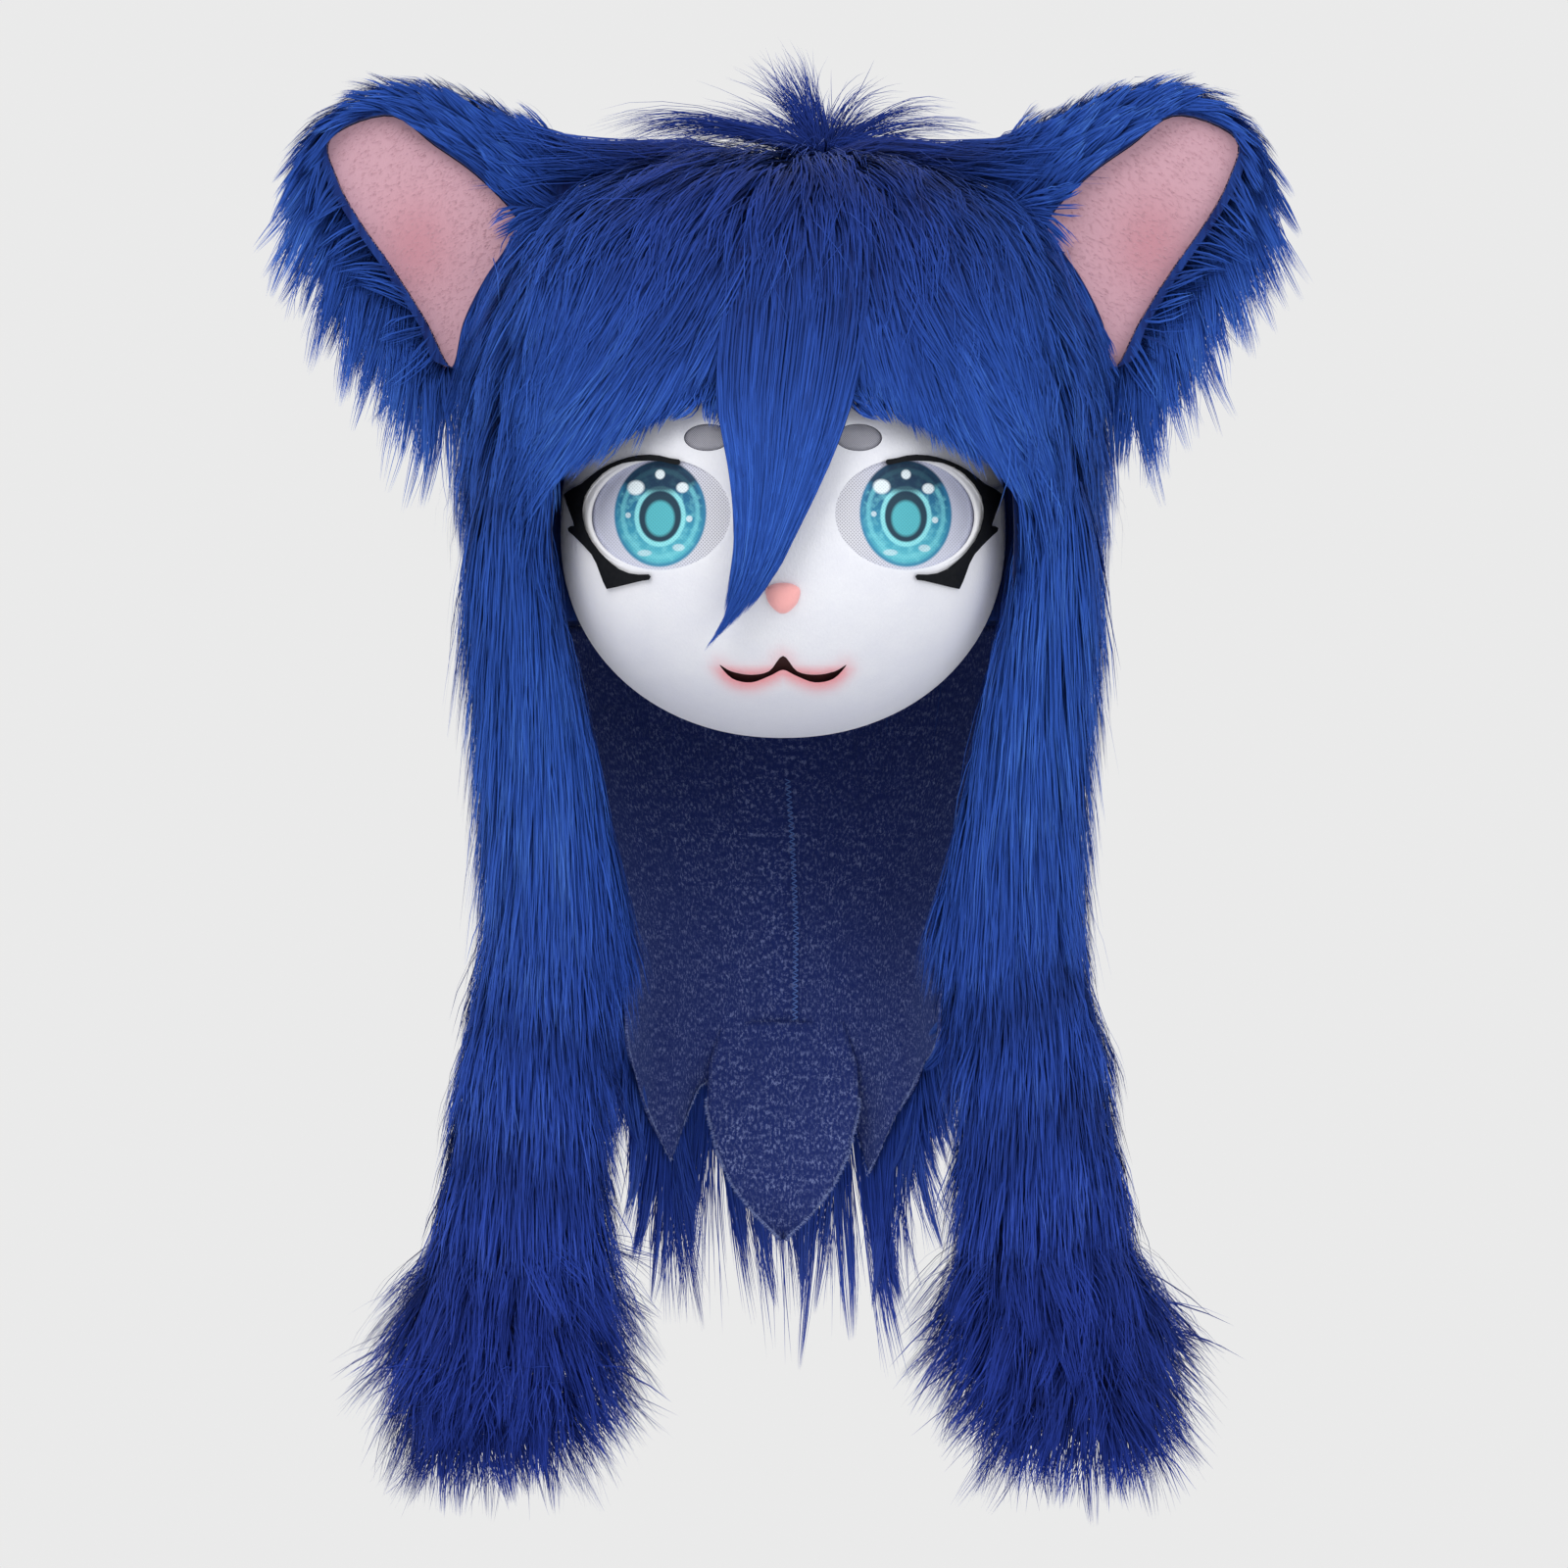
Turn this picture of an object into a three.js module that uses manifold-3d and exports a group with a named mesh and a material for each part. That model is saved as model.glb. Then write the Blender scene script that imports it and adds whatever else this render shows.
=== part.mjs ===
// A fursuit head: a hollow dome with a face mask in its front, cat ears, deep fur in locks,
// two long fur lappets and a three-pointed cloth behind the neck.
// Millimetres, +Z up, the face looks along -Y. Left and right are as seen from the front.
// The origin is the inner crown of the dome, where the head inside carries it.
import * as THREE from 'three';
import { mergeVertices } from 'three/addons/utils/BufferGeometryUtils.js';
import Module from 'manifold-3d';

const wasm = await Module();
wasm.setup();

// Clearance between pieces that touch, and round a lock of fur
const GAP = 0.3;
const FUR_GAP = 0.8;

// Dome: a rounded hollow form, measured inside
const HOOD_HALF_WIDTH = 150;
const HOOD_RISE = 125;
const HOOD_DROP = 190;
const HOOD_FRONT = 125;
const HOOD_BACK = 150;
const HOOD_CENTRE_Y = 10;
const HOOD_ROUNDNESS = 2.5;
const HOOD_WALL = 6;
const NECK_EDGE_DEPTH = 235;

// Face egg, measured outside
const FACE_HALF_WIDTH = 116;
const FACE_RISE = 150;
const FACE_DROP = 106;
const FACE_DEPTH = 115;
const FACE_CENTRE_DEPTH = 190;
const FACE_BACK_Y = -20;
const FACE_ROUNDNESS = 2.1;
const FACE_WALL = 4;
const FLANGE_THICKNESS = 6;
const FLANGE_CLEARANCE = 1;
const FACE_OPENING_TOP = 112;
const FACE_OPENING_MARGIN = 3;
const MASK_TOP_DEPTH = 80;

// Eyes, brows, nose and mouth
const EYE_SPACING = 130;
const EYE_ABOVE_CENTRE = 7.5;
const EYE_DEPTH = FACE_CENTRE_DEPTH - EYE_ABOVE_CENTRE;
const EYE_WIDTH = 77;
const EYE_HEIGHT = 58;
const MESH_RECESS = 1.5;
const MESH_THICKNESS = 1.2;
const LASH_THICKNESS = 2;
const LASH_WIDTH = 61;
const LASH_HEIGHT = 68;
const BROW_SPACING = 77;
const BROW_ABOVE_CENTRE = 46.5;
const BROW_DEPTH = FACE_CENTRE_DEPTH - BROW_ABOVE_CENTRE;
const BROW_WIDTH = 24;
const BROW_HEIGHT = 14;
const NOSE_WIDTH = 19;
const NOSE_HEIGHT = 16;
const NOSE_BELOW_CENTRE = 35.5;
const NOSE_DEPTH = FACE_CENTRE_DEPTH + NOSE_BELOW_CENTRE;
const NOSE_BULGE = 5;
const NOSE_MIDDLE_SHARE = 0.78;
const NOSE_FLARE = 0.24;
const MOUTH_WIDTH = 65;
const MOUTH_HEIGHT = 9;
const MOUTH_BELOW_CENTRE = 69;
const MOUTH_DEPTH = FACE_CENTRE_DEPTH + MOUTH_BELOW_CENTRE;
const SCREEN_THICKNESS = 1.2;

// Fur on the dome
const FUR_DEPTH = 9;
const FUR_LOCK_WIDTH = 24;
const FUR_LOCK_DEPTH = 9;
const FUR_OVERHANG = 184;
const FUR_LIFT = 20;
const FUR_LOCK_RISE = 1;
const FUR_UNEVEN_SHARE = 0.1;
const FUR_SWAY = 0.1;
const HANG_POLAR = 1.95;
const FACE_VIEW_ANGLE = 0.86;
const BRIDGE_START = 0.35;
const BRIDGE_END = 1.05;
const FRINGE_TOP_DEPTH = 62;
const FRINGE_HALF_WIDTH = 118;
const FRINGE_LOCK_WIDTH = 22;
const FRINGE_LOCK_DEPTH = 8;
const FRINGE_LENGTH = 106;
const FRINGE_BACK_SHARE = 0.2;
const BANG_ROOT_DROP = 14;
const SIDE_LOCK_SINK = 2;
const CENTRE_LOCK_WIDTH = 62;
const CENTRE_LOCK_LENGTH = 190;
const CENTRE_LOCK_DROP = 6;
const CENTRE_STRAND_SHARE = 0.5;
const CENTRE_SPREAD_SHARE = 0.75;
const CENTRE_SHIFTS = [-0.42, 0, 0.42];
const TUFT_X = 21;
const TUFT_RADIUS = 15;
const TUFT_HEIGHT = 46;
const TUFT_LOCK_WIDTH = 9;
const TUFT_ROOT_SPREAD = 3;
const TUFT_ROOT_RISE = 2;
const TUFT_REACH_SHARE = 0.8;

// Ears
const EAR_REACH = 135;
const EAR_RISE = 152;
const EAR_ROOT_SHARE = 0.74;
const EAR_ROOT_DEPTH_SHARE = 0.86;
const EAR_THICKNESS = 26;
const EAR_BEVEL = 8;
const EAR_CENTRE_Y = -6;
const EAR_DISH_DEPTH = 11;
const DISH_CENTRE = [0.58, 0.52];
const DISH_WIDTH_SHARE = 0.66;
const DISH_HEIGHT_SHARE = 0.68;
const LINING_THICKNESS = 3;
const EAR_LOCK_LENGTH = 58;
const EAR_LOCK_WIDTH = 17;
const EAR_LOCK_DEPTH = 9;
const EAR_LOCK_BACK = 1;

// Lappets
const LAPPET_TOP_DEPTH = 150;
const LAPPET_LENGTH = 500;
const LAPPET_REACH = 206;
const LAPPET_HALF_DEPTH = 30;
const LAPPET_Y = -52;
const LAPPET_TOP_FORWARD = 14;
const LAPPET_LOCK_WIDTH = 20;
const LAPPET_LOCK_DEPTH = 11;
const LAPPET_TIP_LENGTH = 52;
const LAPPET_LOCK_ROOT = 0.8;
const LAPPET_LOCK_RISE = 0.25;

// Cloth behind the neck
const NAPE_THICKNESS = 2.5;
const NAPE_LENGTH = 295;
const NAPE_BEND_SHARE = 0.72;
const NAPE_FUR_SHARE = 0.94;
const NAPE_HALF_WIDTH = 82;
const NAPE_FOOT_Y = 70;
const NAPE_FOOT_BOW = 50;
const PETAL_LENGTH = 116;
const PETAL_HALF_WIDTH = 41;
const PETAL_CURL = 20;
const PETAL_CUP = 5;
const PETAL_SINK = 0.75;
const NAPE_FUR_DEPTH = 10;
const NAPE_LOCK_LENGTH = 125;
const NAPE_LOCK_WIDTH = 20;
const NAPE_LOCK_DEPTH = 9;
const NAPE_LOCK_LIFT = 6;
const NAPE_LOCK_SINK = 2;
const NAPE_LOCK_SHORTEST = 0.8;
const NAPE_LOCK_UNEVEN = 0.35;
const NAPE_MIDDLE_BULGE = 0.35;
const NAPE_LOCK_GATHER = 0.06;
const NAPE_EDGE_MARGIN = 0.01;

// Colours of the pieces
const FUR_BLUE = 0x2350a8;
const PLUSH_WHITE = 0xe6e8ee;
const PLUSH_PINK = 0xdea3ab;
const NOSE_PINK = 0xf0a0a0;
const LINER_BLACK = 0x141618;
const MESH_TEAL = 0x4fa7b8;
const MESH_GREY = 0x9a9aa6;
const KNIT_NAVY = 0x2f3d74;
const FOAM_GREY = 0x56595f;

// Fineness of the round forms and outlines
const HOOD_SEGMENTS = 20;
const FACE_SEGMENTS = 26;
const LOCK_SIDES = 4;
const LOCK_STEPS = 2;
const LOCK_FULLNESS = 0.55;
const EYE_POINTS = 24;
const BROW_POINTS = 12;
const EAR_POINTS = 22;
const LINING_POINTS = 18;
const LAPPET_SIDES = 10;
const NAPE_COLUMNS = 14;
const NAPE_ROWS = 4;

const HOOD_FORM = {
  centre: new THREE.Vector3(0, HOOD_CENTRE_Y, -HOOD_RISE),
  halfWidth: HOOD_HALF_WIDTH,
  rise: HOOD_RISE,
  drop: HOOD_DROP,
  front: HOOD_FRONT,
  back: HOOD_BACK,
  roundness: HOOD_ROUNDNESS,
};
const FACE_FORM = {
  centre: new THREE.Vector3(0, FACE_BACK_Y, -FACE_CENTRE_DEPTH),
  halfWidth: FACE_HALF_WIDTH,
  rise: FACE_RISE,
  drop: FACE_DROP,
  front: FACE_DEPTH,
  back: FACE_DEPTH,
  roundness: FACE_ROUNDNESS,
};
const HOOD_OUTSIDE = HOOD_WALL;
const ON_HOOD = HOOD_WALL + GAP;
const FUR_OUTSIDE = HOOD_WALL + FUR_DEPTH;

// Closed geometry to a solid that can be joined and cut
function solidOf(geometry) {
  const bare = geometry.clone();
  bare.deleteAttribute('normal');
  bare.deleteAttribute('uv');
  const merged = mergeVertices(bare);
  return new wasm.Manifold(new wasm.Mesh({
    numProp: 3,
    vertProperties: Float32Array.from(merged.attributes.position.array),
    triVerts: Uint32Array.from(merged.index.array),
  }));
}

function join(solids) {
  return solids.reduce((whole, next) => whole.add(next));
}

// The main body of a cut fur piece, without the crumbs that a cut leaves of a lock
function mainBody(solid) {
  const bodies = solid.decompose();
  return bodies.reduce((best, next) => (next.volume() > best.volume() ? next : best));
}

function meshOf(name, solid, colour, roughness) {
  const data = solid.getMesh();
  const geometry = new THREE.BufferGeometry();
  geometry.setAttribute('position', new THREE.BufferAttribute(Float32Array.from(data.vertProperties), 3));
  geometry.setIndex(new THREE.BufferAttribute(Uint32Array.from(data.triVerts), 1));
  geometry.computeVertexNormals();
  const material = new THREE.MeshStandardMaterial({ color: colour, roughness, metalness: 0 });
  const mesh = new THREE.Mesh(geometry, material);
  mesh.name = name;
  return mesh;
}

// Point of a rounded form, grown by a distance, in the direction of a unit vector
function pointOn(form, grow, direction) {
  const power = 2 / form.roundness;
  const soften = (value) => Math.sign(value) * Math.abs(value) ** power;
  const ring = Math.hypot(direction.x, direction.y);
  const across = ring > 0 ? direction.x / ring : 0;
  const along = ring > 0 ? direction.y / ring : 0;
  const girth = ring ** power;
  const height = (direction.z > 0 ? form.rise : form.drop) + grow;
  const depth = (along > 0 ? form.back : form.front) + grow;
  return new THREE.Vector3(
    form.centre.x + (form.halfWidth + grow) * girth * soften(across),
    form.centre.y + depth * girth * soften(along),
    form.centre.z + height * soften(direction.z),
  );
}

// Direction from an azimuth (0 in front, growing towards +X) and an angle down from the crown
function heading(azimuth, polar) {
  return new THREE.Vector3(
    Math.sin(azimuth) * Math.sin(polar),
    -Math.cos(azimuth) * Math.sin(polar),
    Math.cos(polar),
  );
}

// Share of a form's girth at a height
function girthAt(form, grow, z) {
  const rise = z - form.centre.z;
  const share = Math.min(1, Math.abs(rise) / ((rise > 0 ? form.rise : form.drop) + grow));
  return (1 - share ** form.roundness) ** (1 / form.roundness);
}

// Front surface of a form at a place in the front view
function frontY(form, grow, x, z) {
  const girth = girthAt(form, grow, z);
  const across = Math.min(1, Math.abs(x - form.centre.x) / ((form.halfWidth + grow) * girth));
  const depth = (form.front + grow) * girth * (1 - across ** form.roundness) ** (1 / form.roundness);
  return form.centre.y - depth;
}

function roundForm(form, grow, segments) {
  const geometry = new THREE.SphereGeometry(1, segments, segments / 2);
  geometry.rotateX(Math.PI / 2);
  const position = geometry.attributes.position;
  for (let i = 0; i < position.count; i += 1) {
    const direction = new THREE.Vector3().fromBufferAttribute(position, i).normalize();
    const point = pointOn(form, grow, direction);
    position.setXYZ(i, point.x, point.y, point.z);
  }
  return solidOf(geometry);
}

function block(low, high) {
  const geometry = new THREE.BoxGeometry(high[0] - low[0], high[1] - low[1], high[2] - low[2]);
  geometry.translate((low[0] + high[0]) / 2, (low[1] + high[1]) / 2, (low[2] + high[2]) / 2);
  return solidOf(geometry);
}

// Outline in the front view, [x, z] points, run through from nearY to farY
function prism(outline, nearY, farY) {
  const shape = new THREE.Shape(outline.map(([x, z]) => new THREE.Vector2(x, z)));
  const geometry = new THREE.ExtrudeGeometry(shape, { depth: farY - nearY, bevelEnabled: false });
  geometry.rotateX(Math.PI / 2);
  geometry.translate(0, farY, 0);
  return solidOf(geometry);
}

// Closed smooth outline through points, moved outwards by a distance
function smoothOutline(points, grow, count) {
  const curve = new THREE.CatmullRomCurve3(points.map(([x, z]) => new THREE.Vector3(x, 0, z)), true);
  const round = curve.getPoints(count).slice(0, -1);
  const turn = round.reduce((sum, p, i) => {
    const next = round[(i + 1) % round.length];
    return sum + p.x * next.z - next.x * p.z;
  }, 0);
  return round.map((p, i) => {
    const before = round[(i + round.length - 1) % round.length];
    const after = round[(i + 1) % round.length];
    const along = after.clone().sub(before).normalize();
    const out = turn > 0 ? 1 : -1;
    return [p.x + along.z * grow * out, p.z - along.x * grow * out];
  });
}

function ellipseOutline(centreX, centreZ, halfWidth, halfHeight, count) {
  return Array.from({ length: count }, (_, i) => {
    const angle = (i / count) * 2 * Math.PI;
    return [centreX + halfWidth * Math.cos(angle), centreZ + halfHeight * Math.sin(angle)];
  });
}

// Tapered lock of fur along a route of points, flat side towards outward
function lock(route, width, depth, grow, outward) {
  const curve = new THREE.CatmullRomCurve3(route, false, 'centripetal');
  const geometry = new THREE.ConeGeometry(1, 1, LOCK_SIDES, LOCK_STEPS);
  const position = geometry.attributes.position;
  for (let i = 0; i < position.count; i += 1) {
    const share = Math.min(1, position.getY(i) + 0.5);
    const taper = 1 - share;
    const centre = curve.getPointAt(share);
    const along = curve.getTangentAt(share);
    const face = outward.clone().addScaledVector(along, -outward.dot(along)).normalize();
    const across = new THREE.Vector3().crossVectors(along, face);
    const body = taper < 1e-6 ? 0 : (taper ** LOCK_FULLNESS) / taper;
    const x = position.getX(i) * body * (width / 2 + grow);
    const y = position.getZ(i) * body * (depth / 2 + grow);
    const point = centre.addScaledVector(across, x).addScaledVector(face, y);
    if (taper < 1e-6) point.addScaledVector(along, grow);
    position.setXYZ(i, point.x, point.y, point.z);
  }
  return solidOf(geometry);
}

// Dome wall, cut open at the neck and round the face
function faceOpening(margin) {
  const sides = ellipseOutline(0, -FACE_CENTRE_DEPTH, 1, 1, FACE_SEGMENTS).map(([x, z]) => {
    const height = z + FACE_CENTRE_DEPTH;
    const reach = height > 0 ? FACE_RISE : FACE_DROP + HOOD_DROP;
    return [x * (FACE_HALF_WIDTH + margin), -FACE_CENTRE_DEPTH + height * (reach + margin)];
  });
  const low = -NECK_EDGE_DEPTH - FACE_DROP;
  const frame = block(
    [-HOOD_HALF_WIDTH, FACE_BACK_Y - FACE_DEPTH * 2, low],
    [HOOD_HALF_WIDTH, FACE_BACK_Y, -FACE_OPENING_TOP + margin],
  );
  return prism(sides, FACE_BACK_Y - FACE_DEPTH * 2, FACE_BACK_Y).intersect(frame);
}

function belowNeck(depth) {
  const reach = HOOD_HALF_WIDTH * 2;
  return block([-reach, -reach, -depth - HOOD_DROP * 2], [reach, reach, -depth]);
}

function hoodShell() {
  return roundForm(HOOD_FORM, HOOD_OUTSIDE, HOOD_SEGMENTS)
    .subtract(roundForm(HOOD_FORM, 0, HOOD_SEGMENTS))
    .subtract(faceOpening(FACE_OPENING_MARGIN))
    .subtract(roundForm(FACE_FORM, GAP, FACE_SEGMENTS))
    .subtract(belowNeck(NECK_EDGE_DEPTH));
}

// Outlines on the face
function eyeOutline(side, grow) {
  const centreX = side * EYE_SPACING / 2;
  return ellipseOutline(centreX, -EYE_DEPTH, EYE_WIDTH / 2 + grow, EYE_HEIGHT / 2 + grow, EYE_POINTS);
}

function browOutline(side, grow) {
  const centreX = side * BROW_SPACING / 2;
  return ellipseOutline(centreX, -BROW_DEPTH, BROW_WIDTH / 2 + grow, BROW_HEIGHT / 2 + grow, BROW_POINTS);
}

// Upper edge then lower edge of the mouth slit: share of the width, share of the height
const MOUTH_EDGE = [
  [-0.5, 0.0], [-0.41, -0.36], [-0.26, -0.56], [-0.11, -0.36], [0.0, 0.5],
  [0.11, -0.36], [0.26, -0.56], [0.41, -0.36], [0.5, 0.0],
  [0.4, -0.78], [0.25, -1.0], [0.1, -0.62], [0.0, -0.3],
  [-0.1, -0.62], [-0.25, -1.0], [-0.4, -0.78],
];

function mouthOutline() {
  return MOUTH_EDGE.map(([across, up]) => [across * MOUTH_WIDTH, up * MOUTH_HEIGHT - MOUTH_DEPTH]);
}

// Eyeliner outline, as shares of its width towards the nose and its height upwards from the eye's centre
const LASH_EDGE = [
  [0.208, 0.397], [0.115, 0.422], [-0.049, 0.451], [-0.230, 0.437], [-0.410, 0.382],
  [-0.574, 0.294], [-0.795, 0.184], [-0.738, 0.037], [-0.700, -0.066], [-0.757, -0.082],
  [-0.705, -0.140], [-0.549, -0.287], [-0.475, -0.434], [-0.420, -0.551], [-0.230, -0.518],
  [-0.049, -0.485], [-0.057, -0.449], [-0.230, -0.437], [-0.393, -0.346], [-0.549, -0.184],
  [-0.623, -0.007], [-0.607, 0.154], [-0.459, 0.316], [-0.279, 0.393], [-0.049, 0.404],
  [0.189, 0.369],
];

function lashOutline(side) {
  const centreX = side * EYE_SPACING / 2;
  return LASH_EDGE.map(([inward, up]) => [centreX - side * inward * LASH_WIDTH, up * LASH_HEIGHT - EYE_DEPTH]);
}

// Range in depth of what is cut through or laid on the front of the face
const NEAR = FACE_BACK_Y - FACE_DEPTH * 2;
const FAR = FACE_BACK_Y - FLANGE_THICKNESS - FLANGE_CLEARANCE;

function faceMask() {
  const mask = roundForm(FACE_FORM, 0, FACE_SEGMENTS)
    .subtract(roundForm(FACE_FORM, -FACE_WALL, FACE_SEGMENTS));
  const wide = HOOD_HALF_WIDTH * 2;
  const flange = roundForm(HOOD_FORM, -GAP, HOOD_SEGMENTS)
    .intersect(block(
      [-wide, FACE_BACK_Y - FLANGE_THICKNESS, -NECK_EDGE_DEPTH],
      [wide, FACE_BACK_Y, -MASK_TOP_DEPTH],
    ))
    .subtract(roundForm(FACE_FORM, -FACE_WALL, FACE_SEGMENTS));
  const kept = block(
    [-wide, NEAR, -FACE_CENTRE_DEPTH - FACE_DROP * 2],
    [wide, FACE_BACK_Y, -MASK_TOP_DEPTH],
  );
  let face = mask.intersect(kept).add(flange);
  for (const side of [-1, 1]) {
    face = face.subtract(prism(eyeOutline(side, 0), NEAR, FAR));
    face = face.subtract(prism(browOutline(side, 0), NEAR, FAR));
  }
  return face.subtract(prism(mouthOutline(), NEAR, FAR));
}

// Layer of the face form between two distances from its surface
function faceLayer(inside, outside) {
  return roundForm(FACE_FORM, outside, FACE_SEGMENTS)
    .subtract(roundForm(FACE_FORM, inside, FACE_SEGMENTS));
}

function meshInsert(outline) {
  return faceLayer(-MESH_RECESS - MESH_THICKNESS, -MESH_RECESS)
    .intersect(prism(outline, NEAR, FAR));
}

function lash(side) {
  return faceLayer(GAP, GAP + LASH_THICKNESS).intersect(prism(lashOutline(side), NEAR, FAR));
}

function nose() {
  const geometry = new THREE.SphereGeometry(1, 12, 8);
  const position = geometry.attributes.position;
  const surface = frontY(FACE_FORM, 0, 0, -NOSE_DEPTH);
  for (let i = 0; i < position.count; i += 1) {
    const up = position.getY(i);
    const narrow = NOSE_MIDDLE_SHARE + NOSE_FLARE * up;
    position.setXYZ(
      i,
      position.getX(i) * narrow * NOSE_WIDTH / 2,
      -position.getZ(i) * NOSE_BULGE + surface,
      up * NOSE_HEIGHT / 2 - NOSE_DEPTH,
    );
  }
  return solidOf(geometry).subtract(roundForm(FACE_FORM, GAP, FACE_SEGMENTS));
}

function mouthScreen() {
  const half = MOUTH_WIDTH / 2 + FACE_WALL;
  return faceLayer(-FACE_WALL - GAP - SCREEN_THICKNESS, -FACE_WALL - GAP)
    .intersect(block(
      [-half, NEAR, -MOUTH_DEPTH - MOUTH_HEIGHT - FACE_WALL],
      [half, FAR, -MOUTH_DEPTH + MOUTH_HEIGHT],
    ));
}

// Ear outline from its root on the dome: share of the reach outwards, share of the rise upwards
const EAR_EDGE = [
  [0.0, 0.82], [0.14, 0.865], [0.3, 0.93], [0.47, 0.98], [0.63, 1.0], [0.79, 0.975],
  [0.93, 0.905], [1.0, 0.8], [0.975, 0.66], [0.87, 0.5], [0.74, 0.335], [0.62, 0.165],
  [0.51, 0.01], [0.06, 0.0], [-0.12, 0.4],
];
const LINING_EDGE = [
  [0.93, 0.82], [0.7, 0.9], [0.52, 0.795], [0.35, 0.685], [0.2, 0.535], [0.25, 0.44],
  [0.33, 0.335], [0.41, 0.19], [0.46, 0.03], [0.56, 0.19], [0.68, 0.36], [0.81, 0.525], [0.9, 0.67],
];

function earPoint(side, reach, rise) {
  const rootX = HOOD_HALF_WIDTH * EAR_ROOT_SHARE;
  const rootZ = -HOOD_RISE * EAR_ROOT_DEPTH_SHARE;
  return [side * (rootX + reach * EAR_REACH), rootZ + rise * EAR_RISE];
}

function earPad(side, grow) {
  const edge = EAR_EDGE.map(([reach, rise]) => earPoint(side, reach, rise));
  const outline = smoothOutline(edge, grow - EAR_BEVEL, EAR_POINTS);
  const shape = new THREE.Shape(outline.map(([x, z]) => new THREE.Vector2(x, z)));
  const flat = EAR_THICKNESS - 2 * EAR_BEVEL + 2 * grow;
  const geometry = new THREE.ExtrudeGeometry(shape, {
    depth: flat, bevelThickness: EAR_BEVEL, bevelSize: EAR_BEVEL, bevelSegments: 1,
  });
  geometry.rotateX(Math.PI / 2);
  geometry.translate(0, EAR_CENTRE_Y + flat / 2, 0);
  return solidOf(geometry);
}

// Locks along the outer edge of an ear: root reach and rise, lean outwards, share of the length
const EAR_LOCKS = [
  [0.86, 0.92, 0.75, 0.75], [0.93, 0.82, 0.5, 0.8], [0.92, 0.7, 0.35, 1.0], [0.88, 0.58, 0.22, 1.1],
  [0.82, 0.48, 0.1, 1.0], [0.74, 0.38, 0.04, 1.0], [0.66, 0.27, -0.02, 1.0],
  [0.58, 0.16, -0.08, 1.0], [0.5, 0.06, -0.12, 1.0],
];

function earLocks(side, grow) {
  const back = EAR_CENTRE_Y + EAR_THICKNESS / 4;
  return EAR_LOCKS.map(([reach, rise, lean, length]) => {
    const [x, z] = earPoint(side, reach, rise);
    const run = EAR_LOCK_LENGTH * length;
    const drop = Math.sqrt(1 - lean * lean);
    return lock([
      new THREE.Vector3(x - side * lean * run * 0.25, back, z + run * 0.2),
      new THREE.Vector3(x + side * (lean + 0.15) * run * 0.5, back + EAR_LOCK_BACK, z - run * 0.35 * drop),
      new THREE.Vector3(x + side * lean * run, back + EAR_LOCK_BACK * 2, z - run * drop),
    ], EAR_LOCK_WIDTH, EAR_LOCK_DEPTH, grow, new THREE.Vector3(0, -1, 0));
  });
}

function dish(side, grow) {
  const [x, z] = earPoint(side, ...DISH_CENTRE);
  const geometry = new THREE.SphereGeometry(1, 18, 8);
  geometry.scale(
    EAR_REACH * DISH_WIDTH_SHARE + grow,
    EAR_DISH_DEPTH + grow,
    EAR_RISE * DISH_HEIGHT_SHARE + grow,
  );
  geometry.translate(x, EAR_CENTRE_Y - EAR_THICKNESS / 2, z);
  return solidOf(geometry);
}

function liningPrism(side, grow) {
  const edge = LINING_EDGE.map(([reach, rise]) => earPoint(side, reach, rise));
  const outline = smoothOutline(edge, grow, LINING_POINTS);
  return prism(outline, EAR_CENTRE_Y - EAR_THICKNESS, EAR_CENTRE_Y + EAR_THICKNESS / 2);
}

function ear(side) {
  const whole = join([earPad(side, 0), ...earLocks(side, 0)]);
  return mainBody(whole
    .subtract(dish(side, 0).intersect(liningPrism(side, 0)))
    .subtract(roundForm(HOOD_FORM, ON_HOOD, HOOD_SEGMENTS)));
}

function earLining(side) {
  return mainBody(dish(side, -GAP).subtract(dish(side, -GAP - LINING_THICKNESS))
    .intersect(liningPrism(side, -GAP))
    .subtract(roundForm(HOOD_FORM, ON_HOOD, HOOD_SEGMENTS)));
}

// Lappet sections: share of the length, outer and inner edge as shares of the reach, share of the depth
const LAPPET_ROWS = [
  { down: 0.0, outer: 0.78, inner: 0.61, deep: 0.55 },
  { down: 0.1, outer: 0.79, inner: 0.565, deep: 0.8 },
  { down: 0.2, outer: 0.77, inner: 0.5, deep: 0.9 },
  { down: 0.32, outer: 0.765, inner: 0.43, deep: 0.95 },
  { down: 0.44, outer: 0.76, inner: 0.36, deep: 1.0 },
  { down: 0.49, outer: 0.78, inner: 0.38, deep: 0.95 },
  { down: 0.58, outer: 0.83, inner: 0.41, deep: 1.0 },
  { down: 0.69, outer: 0.87, inner: 0.41, deep: 1.05 },
  { down: 0.79, outer: 0.92, inner: 0.4, deep: 1.15 },
  { down: 0.88, outer: 1.0, inner: 0.385, deep: 1.35 },
  { down: 0.95, outer: 0.99, inner: 0.44, deep: 1.25 },
  { down: 1.0, outer: 0.9, inner: 0.58, deep: 0.7 },
];

function lappetRow(share) {
  const place = LAPPET_ROWS.findIndex((row) => row.down >= share - 1e-9);
  const after = LAPPET_ROWS[Math.max(1, place)];
  const before = LAPPET_ROWS[Math.max(1, place) - 1];
  const mix = (share - before.down) / (after.down - before.down);
  const blend = (key) => before[key] + (after[key] - before[key]) * mix;
  return {
    z: -LAPPET_TOP_DEPTH - share * LAPPET_LENGTH,
    centre: (blend('outer') + blend('inner')) / 2 * LAPPET_REACH,
    halfWidth: (blend('outer') - blend('inner')) / 2 * LAPPET_REACH,
    halfDepth: blend('deep') * LAPPET_HALF_DEPTH,
  };
}

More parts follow.
